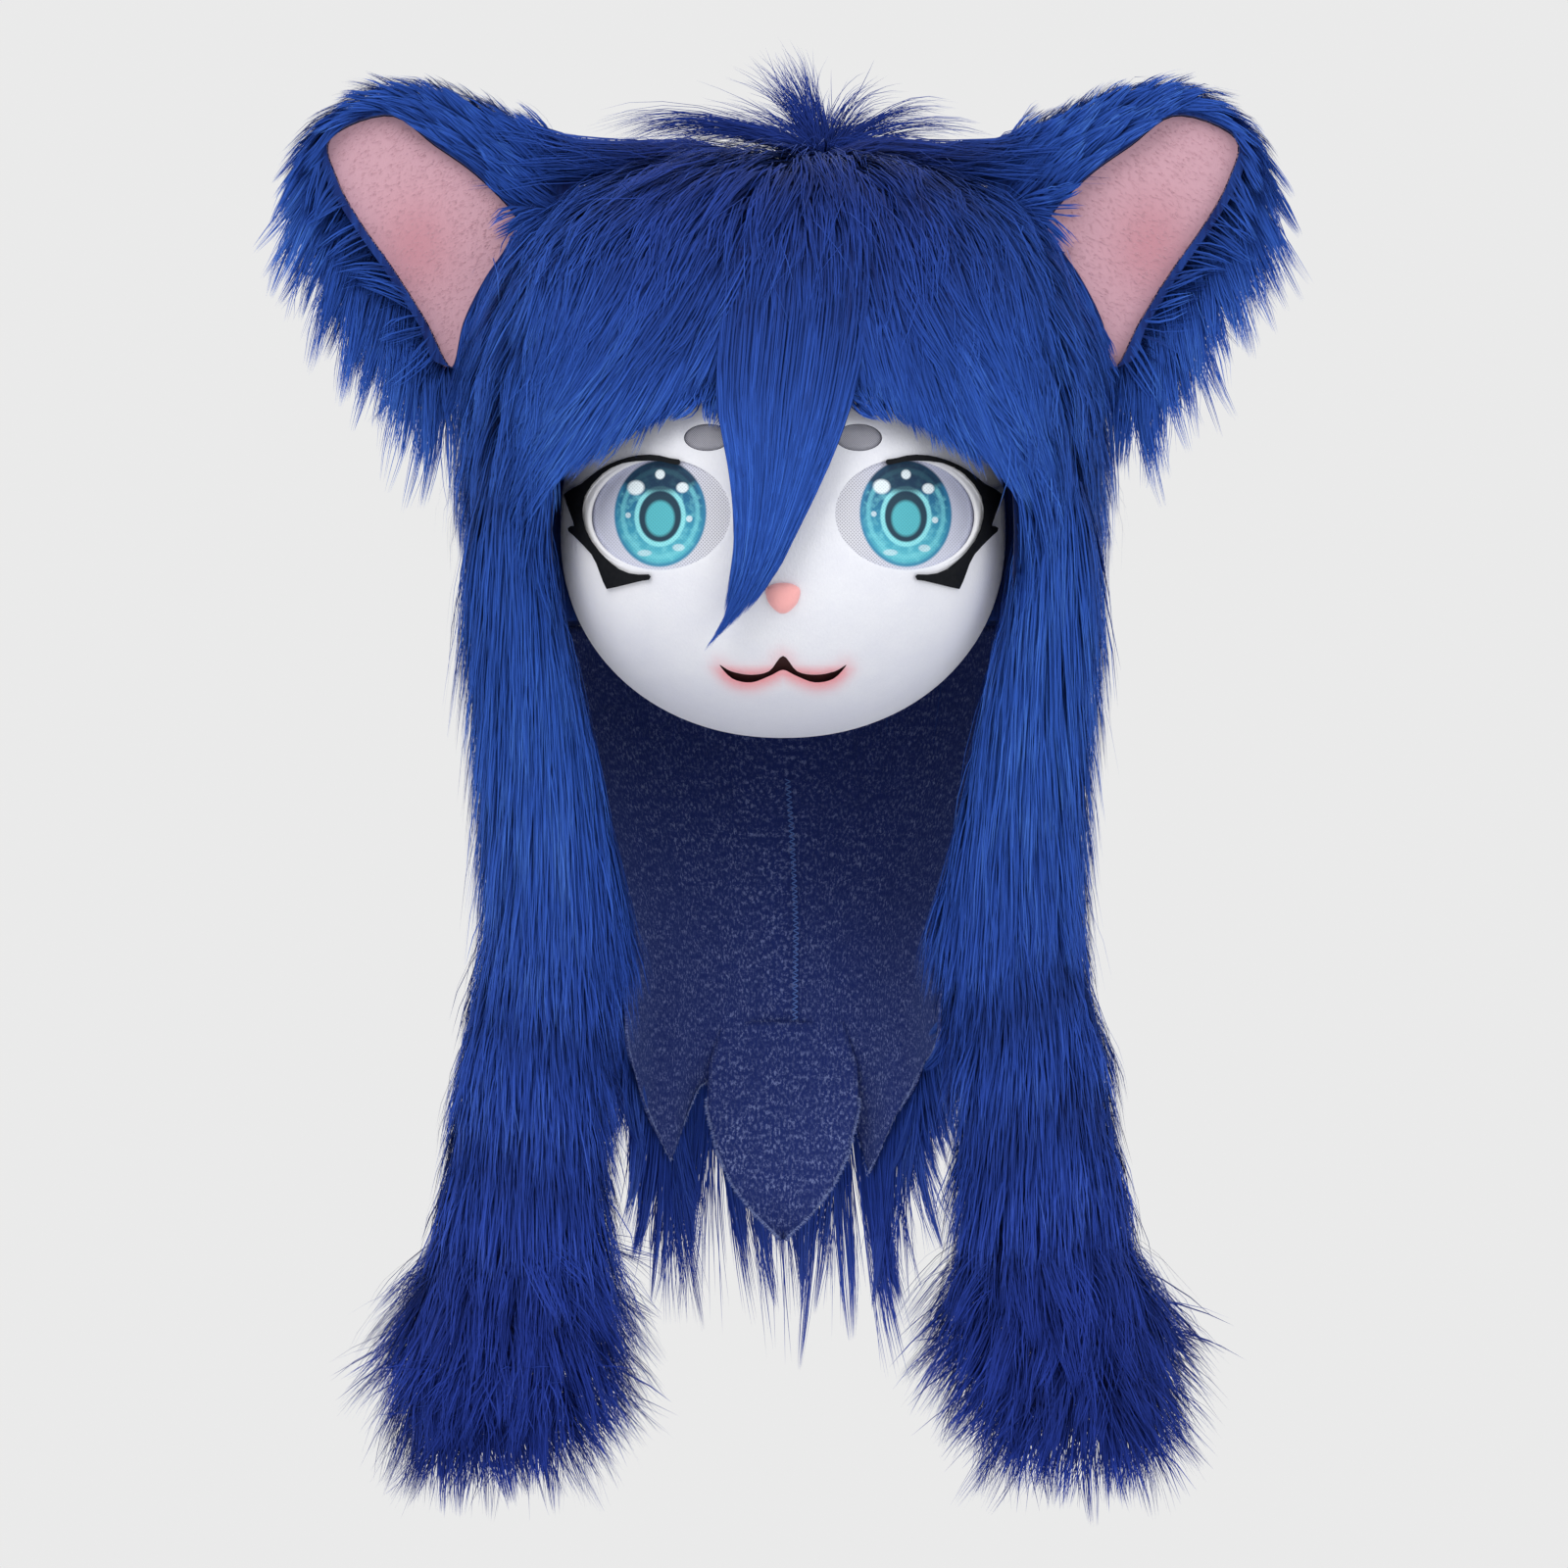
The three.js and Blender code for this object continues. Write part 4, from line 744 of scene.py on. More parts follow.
def fur_piece(name, batches, rng, replaced):
    return piece_of(name, hair_mesh(name, batches, rng), fur_material(), replaced)


# Farthest that a strand is drawn to its leader, the depth of the painted shade round the whorl and its reach
CLUMP_REACH = 0.024
WHORL_SHADE, WHORL_REACH = 0.8, 0.085


def clumped(paths, rng, strength, every, power=1.4):
    """Strands drawn together towards a leader, more so at the tip. Returns paths and each one's leader."""
    count = len(paths)
    leaders = rng.choice(count, max(1, count // every), replace=False)
    tree = kdtree.KDTree(len(leaders))
    middle = paths[:, 1]
    for i, leader in enumerate(leaders):
        tree.insert(middle[leader], i)
    tree.balance()
    nearest = np.array([tree.find(point)[1] for point in middle])
    share = np.linspace(0, 1, paths.shape[1]) ** power
    pull = (strength * share)[None, :, None]
    towards = paths[leaders[nearest]] - paths
    far = np.linalg.norm(towards, axis=-1, keepdims=True)
    return paths + towards * np.minimum(1, CLUMP_REACH / np.maximum(far, 1e-9)) * pull, nearest


def tones(nearest, rng):
    """Lightness of each strand: mostly its clump's own, with a little of its own."""
    group = rng.uniform(0, 1, nearest.max() + 1)
    return np.clip(group[nearest] * 0.5 + rng.uniform(0, 1, len(nearest)) * 0.5, 0, 1)


def widths_of(count, rng, factor=1.0):
    return hair().strand_width * factor * rng.uniform(0.6, 1.25, count)


def locks(paths, facing, rng, clump, width=1.0, light=(1.0, 0.0), whorl=False):
    """Strands in clumps; tones are scaled and raised by light, and may darken near the whorl as painted
    shade.
    """
    paths, nearest = clumped(paths, rng, *clump)
    widths = widths_of(len(paths), rng, width)
    tone = tones(nearest, rng)
    if whorl:
        # Painted shade: tones darken round the whorl
        gap = np.linalg.norm(paths[:, 0] - WHORL, axis=1)
        tone = tone - WHORL_SHADE * np.exp(-(gap / WHORL_REACH) ** 2)
    return paths, facing(paths) if callable(facing) else facing, widths, tone * light[0] + light[1]


def bent(roots, controls, tips, steps):
    """Points along curves from roots to tips, in two dimensions or three."""
    share = np.linspace(0, 1, steps + 1)[None, :, None]
    return ((1 - share) ** 2 * roots[:, None] + 2 * share * (1 - share) * controls[:, None]
            + share ** 2 * tips[:, None])


def straight(roots, aim, lengths, steps=2):
    share = np.linspace(0, 1, steps + 1)[None, :, None]
    return roots[:, None] + aim[:, None] * lengths[:, None, None] * share


# Dome and its fur: strands run from WHORL, hang free under HANG_LEVEL and end at HEM_LEVEL. The front
# hair's zone is under BANG_TOP. CROWN_LINE is the fur's top over |x|, and EAR_LINE the ears' edge over z.
WHORL = np.array([0.021, 0.012, 0.022])
HANG_LEVEL, HEM_LEVEL = -0.205, -0.236
BANG_TOP, BANG_HALF_WIDTH = -0.062, 0.108
WALL_MARGIN, FUR_MARGIN = 0.003, 0.004
CROWN_LINE = (
    [0.0, 0.03, 0.05, 0.065, 0.08, 0.11, 0.135, 0.16],
    [0.010, 0.014, 0.018, 0.017, 0.016, 0.018, 0.026, 0.036],
)
EAR_LINE = ([-0.1035, -0.0795, -0.0575, -0.040, -0.0275, 0.0], [0.1735, 0.167, 0.156, 0.145, 0.137, 0.128])


def in_face_opening(points, margin):
    """True for points of the dome in front of the face, inside the opening's outline."""
    s = sizes()
    rise = points[..., 2] - FACE_LEVEL
    reach = np.where(rise > 0, s.face_rise, s.face_drop + s.hood_drop) + margin
    across = points[..., 0] / (s.face_half_width + margin)
    egg = across ** 2 + (rise / reach) ** 2 < 1
    return egg & (points[..., 1] < FACE_MIDDLE) & (points[..., 2] < OPENING_TOP + margin)


def dome_roots(count, rng, keep):
    """Random places on the dome that keep() accepts."""
    form = hood_form()
    found = []
    total = 0
    while total < count:
        spread = unit(rng.normal(0, 1, (count, 3)))
        points = form.settle(form.centre + spread * 0.1, np.full(count, SKIN))
        points = points[keep(points)]
        found.append(points)
        total += len(points)
    return np.concatenate(found)[:count]


def dome_paths(roots, lengths, lift, steps, rng, wild=0.10):
    """Strands that run from the whorl over the dome, then hang straight down."""
    form = hood_form()
    count = len(roots)
    paths = [roots]
    drift = rng.normal(0, wild, (count, 3))
    point = roots
    share = np.linspace(0, 1, steps + 1)
    for step in range(1, steps + 1):
        out = form.outward(point)
        radial = point - WHORL
        radial = unit(radial - out * (radial * out).sum(-1, keepdims=True))
        down = np.array([0, 0, -1.0]) - out * (-out[:, 2:3])
        # Strands turn from the whorl's rays to a fall, sooner at the sides
        sideways = np.clip((np.abs(point[:, :1]) - 0.07) / 0.05, 0, 1)
        fall = np.clip(-point[:, 2:3] / 0.13 + sideways * 0.45, 0, 1) * 0.92
        flow = unit(radial * (1 - fall) + unit(down) * fall + drift)
        hanging = point[:, 2] < HANG_LEVEL
        flow = np.where(hanging[:, None], np.array([0, 0, -1.0]) + drift * 0.6, flow)
        ahead = point + flow * (lengths / steps)[:, None]
        # Fur stands out more at the sides of the head
        aside = np.clip((np.abs(ahead[:, 0]) - 0.11) / 0.03, 0, 1)
        aside = aside * np.clip((-0.07 - ahead[:, 2]) / 0.04, 0, 1)
        arch = math.sin(min(1.0, share[step] * 1.35) * QUARTER_TURN)
        rise = SKIN + lift * arch + 0.009 * aside * share[step]
        resting = form.settle(ahead, rise)
        point = np.where(hanging[:, None], ahead, resting)
        # In front of the ears a strand stops at the ear's edge
        edge = np.minimum(np.interp(point[:, 2], *EAR_LINE) + drift[:, 0] * 0.02, form.half_width * 0.98)
        high = (point[:, 2] > BANG_TOP) & (point[:, 1] < -0.012)
        over = high & (np.abs(point[:, 0]) > edge) & (np.abs(roots[:, 0]) < edge)
        x = np.sign(point[:, 0]) * edge
        beside = np.stack([x, form.front_y(rise, x, point[:, 2]), point[:, 2]], axis=1)
        point = np.where((over & ~hanging)[:, None], beside, point)
        paths.append(point)
    return np.stack(paths, axis=1)


class DomeOperator(bpy.types.Operator):
    """Padded dome wall, open at the neck and round the face"""
    bl_idname = "furhead.dome"
    bl_label = "Dome wall"

    def execute(self, context):
        s = sizes()
        form = hood_form()
        outside = round_bmesh(form, s.hood_wall, 40, 72)
        inside = round_bmesh(form, 0.0, 40, 72)
        below = block_bmesh((-0.4, -0.4, -0.6), (0.4, 0.4, -s.neck_depth))
        egg = []
        for x, z in ellipse(0, 0, 1, 1, 56):
            reach = s.face_rise if z > 0 else s.face_drop + s.hood_drop
            level = min(OPENING_TOP + WALL_MARGIN, FACE_LEVEL + z * (reach + WALL_MARGIN))
            egg.append((x * (s.face_half_width + WALL_MARGIN), max(-0.45, level)))
        opening = prism_bmesh(unique(egg), -0.30, FACE_MIDDLE)
        mesh = carved(outside, [("DIFFERENCE", tool) for tool in (inside, opening, below)], "dome_wall")
        piece_of("dome_wall", mesh, underfur_material(), "hood_shell", sharp=50)
        return {"FINISHED"}


def unique(points):
    """An outline without doubled points."""
    kept_points = []
    for point in points:
        if not kept_points or math.dist(point, kept_points[-1]) > 1e-5:
            kept_points.append(point)
    if math.dist(kept_points[0], kept_points[-1]) < 1e-5:
        kept_points.pop()
    return kept_points


def fur_zone(points):
    """Where the dome fur grows: all but the front hair's zone and the face."""
    x, y, z = points.T
    front = (np.abs(x) < BANG_HALF_WIDTH) & (y < FACE_MIDDLE) & (z < BANG_TOP)
    return ~front & (z > HEM_LEVEL) & ~in_face_opening(points, FUR_MARGIN)


class DomeFurOperator(bpy.types.Operator):
    """Deep blue fur over the dome, running from the whorl"""
    bl_idname = "furhead.dome_fur"
    bl_label = "Dome fur"

    def execute(self, context):
        rng = np.random.default_rng(11)
        count = hair().dome_count
        outward = hood_form().outward
        under, over, bridge = (int(count * share) for share in (0.56, 0.30, 0.12))
        stray = count - under - over - bridge
        paths = self.layer(under, (0.55, 1.0), (0.002, 0.010), 0.07, rng)
        batches = [locks(paths, outward, rng, (0.55, 26), 1.3, whorl=True)]
        paths = self.layer(over, (0.8, 1.35), (0.006, 0.014), 0.12, rng)
        batches.append(locks(paths, outward, rng, (0.7, 16), whorl=True))
        batches.append(self.bridge(bridge, rng))
        paths = self.layer(stray, (0.6, 1.2), (0.010, 0.022), 0.30, rng)
        batches.append((paths, outward(paths), widths_of(stray, rng, 0.55), rng.uniform(0.2, 0.9, stray)))
        fur_piece("dome_fur", batches, rng, "hood_fur")
        return {"FINISHED"}

    def layer(self, count, lengths, lift, wild, rng):
        roots = dome_roots(count, rng, fur_zone)
        lengths = hair().dome_length * rng.uniform(*lengths, count)
        return dome_paths(roots, lengths, rng.uniform(*lift, count), 3, rng, wild)

    def bridge(self, count, rng):
        """High strands that sweep from the crown out to the ears."""
        steps = 4
        side = np.where(rng.uniform(0, 1, count) < 0.5, -1.0, 1.0)
        reach = 0.005 + 0.120 * rng.uniform(0, 1, count) ** 0.8
        spot = np.stack([side * reach, rng.uniform(-0.045, 0.030, count), np.full(count, 0.02)], axis=1)
        form = hood_form()
        roots = form.settle(spot, np.full(count, SKIN))
        share = np.linspace(0, 1, steps + 1)[None]
        x = roots[:, :1] + (side * rng.uniform(0.045, 0.080, count))[:, None] * share
        y = roots[:, 1:2] + rng.normal(0, 0.008, count)[:, None] * share
        lie = form.settle(np.stack([x, y, np.full_like(x, 0.02)], axis=-1), np.full(x.shape, SKIN))
        lie[..., 0] = x
        top = np.interp(np.abs(x), *CROWN_LINE)
        rise = np.maximum(0.004, top - lie[..., 2]) * rng.uniform(0.15, 1.0, count)[:, None]
        lie[..., 2] += rise * np.minimum(1, share * 2.2)
        return locks(lie, (0, -0.7, 0.7), rng, (0.5, 20), 0.8, (1.0, 0.05), whorl=True)


# Front hair: BANG_EDGE is the bangs' lower end over |x|, and LOCK_LINE the centre lock's middle and half
# width over z
BANG_EDGE = (
    [0.0, 0.033, 0.045, 0.060, 0.080, 0.100, 0.118, 0.150],
    [-0.096, -0.107, -0.118, -0.130, -0.143, -0.155, -0.165, -0.185],
)
LOCK_LINE = (
    [-0.252, -0.241, -0.226, -0.209, -0.188, -0.171, -0.148, -0.126, -0.100, -0.060],
    [-0.0405, -0.0295, -0.020, -0.013, -0.0075, -0.004, -0.001, 0.0005, 0.004, 0.008],
    [0.0, 0.003, 0.007, 0.011, 0.0155, 0.0205, 0.0275, 0.0335, 0.036, 0.036],
)


def front_depth(x, z, clear):
    """Depth of hair that lies on the dome's front and then on the face."""
    on_hood = hood_form().front_y(SKIN + clear, x, np.maximum(z, HANG_LEVEL))
    on_face = face_form().front_y(0.004 + clear * 0.8, x, z)
    return np.minimum(on_hood, on_face)


def front_paths(flat, clear):
    x, z = flat[..., 0], flat[..., 1]
    return np.stack([x, front_depth(x, z, clear), z], axis=-1)


class FringeOperator(bpy.types.Operator):
    """Front hair: two swept bangs and the long centre lock over the nose"""
    bl_idname = "furhead.fringe"
    bl_label = "Front hair"

    def execute(self, context):
        rng = np.random.default_rng(23)
        h = hair()
        steps = 4
        count = int(h.fringe_count * 0.8)
        x0 = rng.uniform(-0.122, 0.122, count)
        z0 = rng.uniform(-0.122, -0.030, count)
        low = -0.06 - np.abs(x0) * 0.55
        z0 = np.where(rng.uniform(0, 1, count) < 0.35, np.maximum(z0, low), z0)
        spread = (x0 - 0.021) / np.maximum(0.03, 0.022 - z0)
        reach = np.abs(x0)
        zt = np.interp(reach, *BANG_EDGE)
        for _ in range(4):
            xt = x0 + spread * (z0 - zt) * 0.62 + np.sign(x0) * 0.006
            zt = np.interp(np.abs(xt), *BANG_EDGE)
        outer = np.clip((np.abs(xt) - 0.118) / 0.02, 0, 1)
        zt = zt + rng.normal(0, 1, count) * (0.005 + 0.012 * outer)
        xt = np.clip(xt, -0.146, 0.146)
        zt = np.minimum(zt, z0 - 0.018)
        roots = np.stack([x0, z0], axis=1)
        tips = np.stack([xt, zt], axis=1)
        run = np.linalg.norm(tips - roots, axis=1)
        longest = rng.uniform(0.045, 0.105, count)
        tips = roots + (tips - roots) * np.minimum(1, longest / run)[:, None]
        flat = bent(roots, roots + (tips - roots) * np.array([0.36, 0.52]), tips, steps)
        share = np.linspace(0, 1, steps + 1)[None]
        flat[..., 0] += rng.normal(0, 0.0035, count)[:, None] * share ** 2
        layer = rng.uniform(0.0, 0.011, count) * np.interp(np.abs(xt), [0.024, 0.045], [0.25, 1.0])
        clear = layer[:, None] * np.sin(np.minimum(1, share * 1.6) * QUARTER_TURN) + 0.004 * share
        batches = [locks(front_paths(flat, clear), (0, -1.0, 0.15), rng, (0.66, 22, 2.4), whorl=True)]

        count = int(h.fringe_count * 0.2)
        steps = 7
        u = rng.uniform(-1, 1, count)
        z0 = rng.uniform(-0.120, -0.012, count)
        zt = -0.256 + 0.024 * np.abs(u) + np.abs(rng.normal(0, 0.020, count))
        zt = np.minimum(zt, z0 - 0.03)
        share = np.linspace(0, 1, steps + 1)[None]
        z = z0[:, None] + (zt - z0)[:, None] * share
        line = np.interp(z, LOCK_LINE[0], LOCK_LINE[1])
        half = np.interp(z, LOCK_LINE[0], LOCK_LINE[2])
        x = line + u[:, None] * (half + 0.0012)
        layer = rng.uniform(0.005, 0.015, count)[:, None]
        clear = layer * np.sin(np.minimum(1, share * 2.4) * QUARTER_TURN)
        paths = front_paths(np.stack([x, z], axis=-1), clear)
        batches.append(locks(paths, (0, -1.0, 0.05), rng, (0.30, 14, 2.2), 0.95, (1.0, -0.07)))
        fur_piece("front_hair", batches, rng, "fringe")
        return {"FINISHED"}


# Each wisp: where its tip is, across and up for its bend, and its share of the strands
WISPS = [
    (0.007, 0.010, 0.063, 0.016, 0.038, 13), (-0.011, 0.012, 0.058, 0.008, 0.042, 5),
    (-0.018, 0.006, 0.050, 0.002, 0.038, 4), (-0.038, 0.008, 0.036, -0.008, 0.032, 4),
    (-0.002, 0.014, 0.045, 0.012, 0.034, 7), (0.026, 0.012, 0.038, 0.024, 0.026, 5),
    (0.052, 0.010, 0.048, 0.034, 0.044, 4), (0.040, 0.014, 0.040, 0.034, 0.030, 4),
    (0.088, 0.008, 0.034, 0.058, 0.044, 5), (0.070, 0.006, 0.032, 0.048, 0.030, 5),
    (0.108, 0.004, 0.022, 0.066, 0.034, 6), (-0.091, 0.004, 0.021, -0.045, 0.042, 13),
    (-0.070, 0.008, 0.024, -0.038, 0.034, 8), (-0.030, 0.010, 0.024, -0.010, 0.026, 6),
    (0.020, 0.055, 0.030, 0.021, 0.034, 5), (-0.020, 0.050, 0.030, 0.004, 0.032, 5),
    (0.055, 0.050, 0.028, 0.036, 0.030, 5), (0.022, -0.022, 0.014, 0.022, 0.018, 3),
    (-0.004, -0.020, 0.018, 0.008, 0.020, 3), (0.046, -0.020, 0.016, 0.032, 0.020, 3),
]


class TuftOperator(bpy.types.Operator):
    """Stiff wisps that stand up at the whorl"""
    bl_idname = "furhead.tuft"
    bl_label = "Crown tuft"

    def execute(self, context):
        rng = np.random.default_rng(31)
        steps = 6
        count = 1400
        angle = rng.uniform(0, math.tau, count)
        radius = 0.011 * np.sqrt(rng.uniform(0, 1, count))
        middle = np.array([0.021, 0.010])
        roots = np.stack([middle[0] + radius * np.cos(angle), middle[1] + radius * np.sin(angle),
                          np.full(count, 0.0075)], axis=1)
        wisps = np.array(WISPS)
        weight = wisps[:, 5] / wisps[:, 5].sum()
        wisp = wisps[rng.choice(len(wisps), count, p=weight)]
        grown = hair().tuft_height / 0.063
        tips = wisp[:, :3] * grown
        bends = np.stack([wisp[:, 3], wisp[:, 1] * 0.5, wisp[:, 4]], axis=1) * grown
        tips = tips + rng.normal(0, 0.0045, (count, 3))
        bends = bends + rng.normal(0, 0.0030, (count, 3))
        paths = bent(roots, bends, tips, steps)
        short = rng.uniform(0.50, 1.12, count)[:, None, None]
        paths = roots[:, None] + (paths - roots[:, None]) * short
        low = hood_form().settle(paths, np.full(paths.shape[:2], 0.010))
        under = (paths[..., 2] < low[..., 2]) & (np.arange(steps + 1) > 0)
        paths = np.where(under[..., None], low, paths)
        paths, nearest = clumped(paths, rng, 0.35, 20)
        tone = tones(nearest, rng) * 0.7 + 0.16
        batches = [(paths, (0, -1.0, 0.2), widths_of(count, rng, 0.42), tone)]
        fur_piece("crown_wisps", batches, rng, "crown_tuft")
        return {"FINISHED"}


# Face
MOUTH_EDGE = [
    (-0.5, 0.0), (-0.41, -0.36), (-0.26, -0.56), (-0.11, -0.36), (0.0, 0.5), (0.11, -0.36),
    (0.26, -0.56), (0.41, -0.36), (0.5, 0.0), (0.4, -0.78), (0.25, -1.0), (0.1, -0.62), (0.0, -0.3),
    (-0.1, -0.62), (-0.25, -1.0), (-0.4, -0.78),
]
MOUTH_WIDE, MOUTH_HIGH, MOUTH_Z = 0.065, 0.009, -0.259
CUT_FRONT, CUT_BACK = -0.25, -0.027
CHIN_LEVEL = -0.262
BLUSH_REACH, PAINT_HALF_WIDTH = 0.0046, 0.116
MESH_WALL = 0.0010
IRIS_X, IRIS_Z = 0.06275, -0.182
NOSE_HALF_WIDTH, NOSE_HALF_HEIGHT, NOSE_Z = 0.0092, 0.0078, -0.2255


def mouth_outline():
    return smooth_loop([(a * MOUTH_WIDE, b * MOUTH_HIGH + MOUTH_Z) for a, b in MOUTH_EDGE], 64)


class FaceOperator(bpy.types.Operator):
    """White plush face with cut eye, brow and mouth holes"""
    bl_idname = "furhead.face"
    bl_label = "Plush face"

    def execute(self, context):
        s = sizes()
        form = face_form()
        outside = round_bmesh(form, 0.0, 96, 144)
        inside = round_bmesh(form, -s.face_wall, 48, 72)
        rim = round_bmesh(hood_form(), -0.0003, 32, 64)
        steps = [("DIFFERENCE", inside)]
        steps.append(("INTERSECT", block_bmesh((-0.4, CUT_FRONT, -0.40), (0.4, FACE_MIDDLE, -0.080))))
        holes = []
        for side, _ in SIDES:
            holes.append(ellipse(side * EYE_X, EYE_Z, s.eye_width / 2, s.eye_height / 2, 64))
            holes.append(ellipse(side * BROW_X, BROW_Z, 0.012, 0.007, 32))
        holes.append(mouth_outline())
        steps += [("DIFFERENCE", prism_bmesh(hole, CUT_FRONT, CUT_BACK)) for hole in holes]
        mesh = carved(outside, steps, "plush_face")
        flange = carved(rim, [
            ("INTERSECT", block_bmesh((-0.4, -0.026, -s.neck_depth), (0.4, -0.0205, -0.080))),
            ("DIFFERENCE", round_bmesh(form, 0.0003, 48, 72)),
        ], "face_flange")
        piece_of("plush_face", mesh, plush_material(), "face_mask", sharp=45)
        soften_rims(mesh)
        paint_face(mesh)
        piece_of("face_flange", flange, underfur_material())
        return {"FINISHED"}


def soften_rims(mesh):
    """Rounds the cut edges on the outside of the face."""
    bm = bmesh.new()
    bm.from_mesh(mesh)
    bmesh.ops.remove_doubles(bm, verts=bm.verts[:], dist=1e-5)
    sharp = [
        edge for edge in bm.edges
        if edge.is_manifold and edge.calc_face_angle(0) > 0.9 and edge.verts[0].co.y < -0.03
    ]
    bmesh.ops.bevel(bm, geom=sharp, offset=0.0009, segments=2, profile=0.5, affect="EDGES", material=-1,
                    clamp_overlap=True)
    bm.to_mesh(mesh)
    bm.free()
    mesh.shade_smooth()
    mesh.set_sharp_from_angle(angle=math.radians(60))


def paint_face(mesh):
    """Airbrush round the mouth, painted chin shade and painted side light, as values on the points."""
    points = points_of(mesh)
    x, z = points[:, 0], points[:, 2]
    near = np.full(len(points), 1.0)
    close = np.where((np.abs(x) < 0.055) & (np.abs(z - CHIN_LEVEL) < 0.03))[0]
    gaps = np.linalg.norm(points[close][:, None, [0, 2]] - np.array(mouth_outline())[None], axis=2)
    near[close] = gaps.min(axis=1)
    below = np.clip((-0.2585 - z) / 0.004, 0.0, 1.0)
    put(mesh, "blush", np.exp(-(near / BLUSH_REACH) ** 2) * (0.34 + 0.66 * below))
    # Painted shade under the chin, and painted light towards the sides as negative values
    under = np.clip((CHIN_LEVEL - z) / 0.03, 0, 1)
    rim = np.clip(((x / PAINT_HALF_WIDTH) ** 2 - 0.35) / 0.5, 0, 1)
    put(mesh, "shade", under * 0.36 - rim * (1 - under))


# Black eyeliner: millimetres inwards and up from the middle of the eye
LINER_EDGE = [
    (12.7, 27.0), (12.0, 27.8), (7.0, 28.7), (2.0, 30.1), (-3.0, 30.7), (-9.0, 30.5), (-14.0, 29.7),
    (-20.0, 28.0), (-25.0, 26.0), (-30.0, 23.5), (-35.0, 20.0), (-39.0, 17.0), (-44.0, 15.0),
    (-48.5, 12.5), (-47.0, 7.5), (-45.0, 2.5), (-43.2, -2.5), (-42.7, -4.5), (-44.5, -4.5),
    (-46.2, -5.3), (-45.8, -7.0), (-43.0, -9.5), (-38.0, -14.5), (-33.5, -19.5), (-30.8, -24.5),
    (-29.0, -29.5), (-27.5, -33.5), (-25.6, -37.5), (-21.0, -36.7), (-14.0, -35.2), (-7.0, -33.7),
    (-3.5, -33.3), (-2.5, -31.7), (-3.5, -30.5), (-9.0, -30.5), (-14.0, -29.7), (-19.0, -27.5),
    (-24.0, -23.5), (-29.0, -18.5), (-33.5, -12.5), (-36.5, -6.5), (-38.0, -0.5), (-38.2, 4.5),
    (-37.0, 10.5), (-33.5, 16.0), (-28.0, 21.5), (-23.0, 24.5), (-17.0, 26.7), (-10.0, 27.5),
    (-3.0, 27.5), (3.0, 27.0), (8.0, 25.7), (11.5, 25.1), (12.5, 25.7),
]


class EyesOperator(bpy.types.Operator):
    """Printed mesh eyes, black liners and mesh brows"""
    bl_idname = "furhead.eyes"
    bl_label = "Eyes and brows"

    def execute(self, context):
        s = sizes()
        form = face_form()
        brow_cloth = mesh_material("grey_brow_mesh", (0.38, 0.38, 0.43), (0.11, 0.11, 0.13))
        half = (s.eye_width / 2, s.eye_height / 2)
        inset = (half[0] - RIM_WIDTH / 2, half[1] - 0.0008)
        for side, word in SIDES:
            centre_x = side * EYE_X
            mesh_x = side * (EYE_X - RIM_WIDTH / 2)
            self.eye_print(side, word, mesh_x, inset)
            self.rim(word, (
                (centre_x, half[0] + 0.0008, half[1] + 0.0008, -0.0006),
                ((centre_x + mesh_x) / 2, half[0] - RIM_WIDTH / 4, half[1] - 0.0002, -0.0003),
                (mesh_x, inset[0], inset[1], -0.0010),
                (mesh_x, inset[0] - 0.0002, inset[1] - 0.0002, -0.0032),
            ))
            outline = ellipse(side * BROW_X, BROW_Z, 0.0117, 0.0067, 36)
            patch_piece(f"brow_{word}", outline, form.laid(-0.0016), 0.003, MESH_WALL, brow_cloth,
                        f"brow_mesh_{word}")
            outline = [(centre_x - side * a * MM, b * MM + EYE_Z) for a, b in LINER_EDGE]
            patch_piece(f"liner_{word}", outline, form.laid(0.0018), 0.004, 0.0016, liner_material(),
                        f"lash_{word}", sharp=40)
        return {"FINISHED"}

    def eye_print(self, side, word, mesh_x, half):
        form = face_form()

        def nearer(x):
            return -side * (x - side * EYE_X) / (sizes().eye_width / 2)

        def depth(x, z):
            return float(form.front_y(-0.0021 + 0.0016 * np.clip(nearer(x), -1, 1), x, z))

        outline = ellipse(mesh_x, EYE_Z, half[0] + 0.0006, half[1] + 0.0006, 72)
        bm = patch_bmesh(outline, depth, 0.004)
        uv = bm.loops.layers.uv.new("print")
        for face in bm.faces:
            for loop in face.loops:
                loop[uv].uv = (loop.vert.co.x - side * IRIS_X, loop.vert.co.z - IRIS_Z)
        mesh = mesh_from(thicken(bm, MESH_WALL), f"eye_print_{word}")
        put(mesh, "nearer", [nearer(vert.co.x) for vert in mesh.vertices])
        piece_of(f"eye_print_{word}", mesh, eye_material(), f"eye_mesh_{word}", sharp=50)

    def rim(self, word, rows):
        """Plush rolled in round the mesh; a row has its middle, half width, half height and depth."""
        form = face_form()
        bm = bmesh.new()
        loops = []
        for x_at, wide, high, depth in rows:
            laid = form.laid(depth)
            ring = [bm.verts.new((x, laid(x, z), z)) for x, z in ellipse(x_at, EYE_Z, wide, high, 72)]
            loops.append([bm.edges.new((ring[i - 1], ring[i])) for i in range(72)])
        for first, second in zip(loops, loops[1:]):
            bmesh.ops.bridge_loops(bm, edges=first + second)
        face_front(bm)
        mesh = mesh_from(bm, f"eye_rim_{word}")
        piece_of(f"eye_rim_{word}", mesh, plush_material())
        paint_face(mesh)


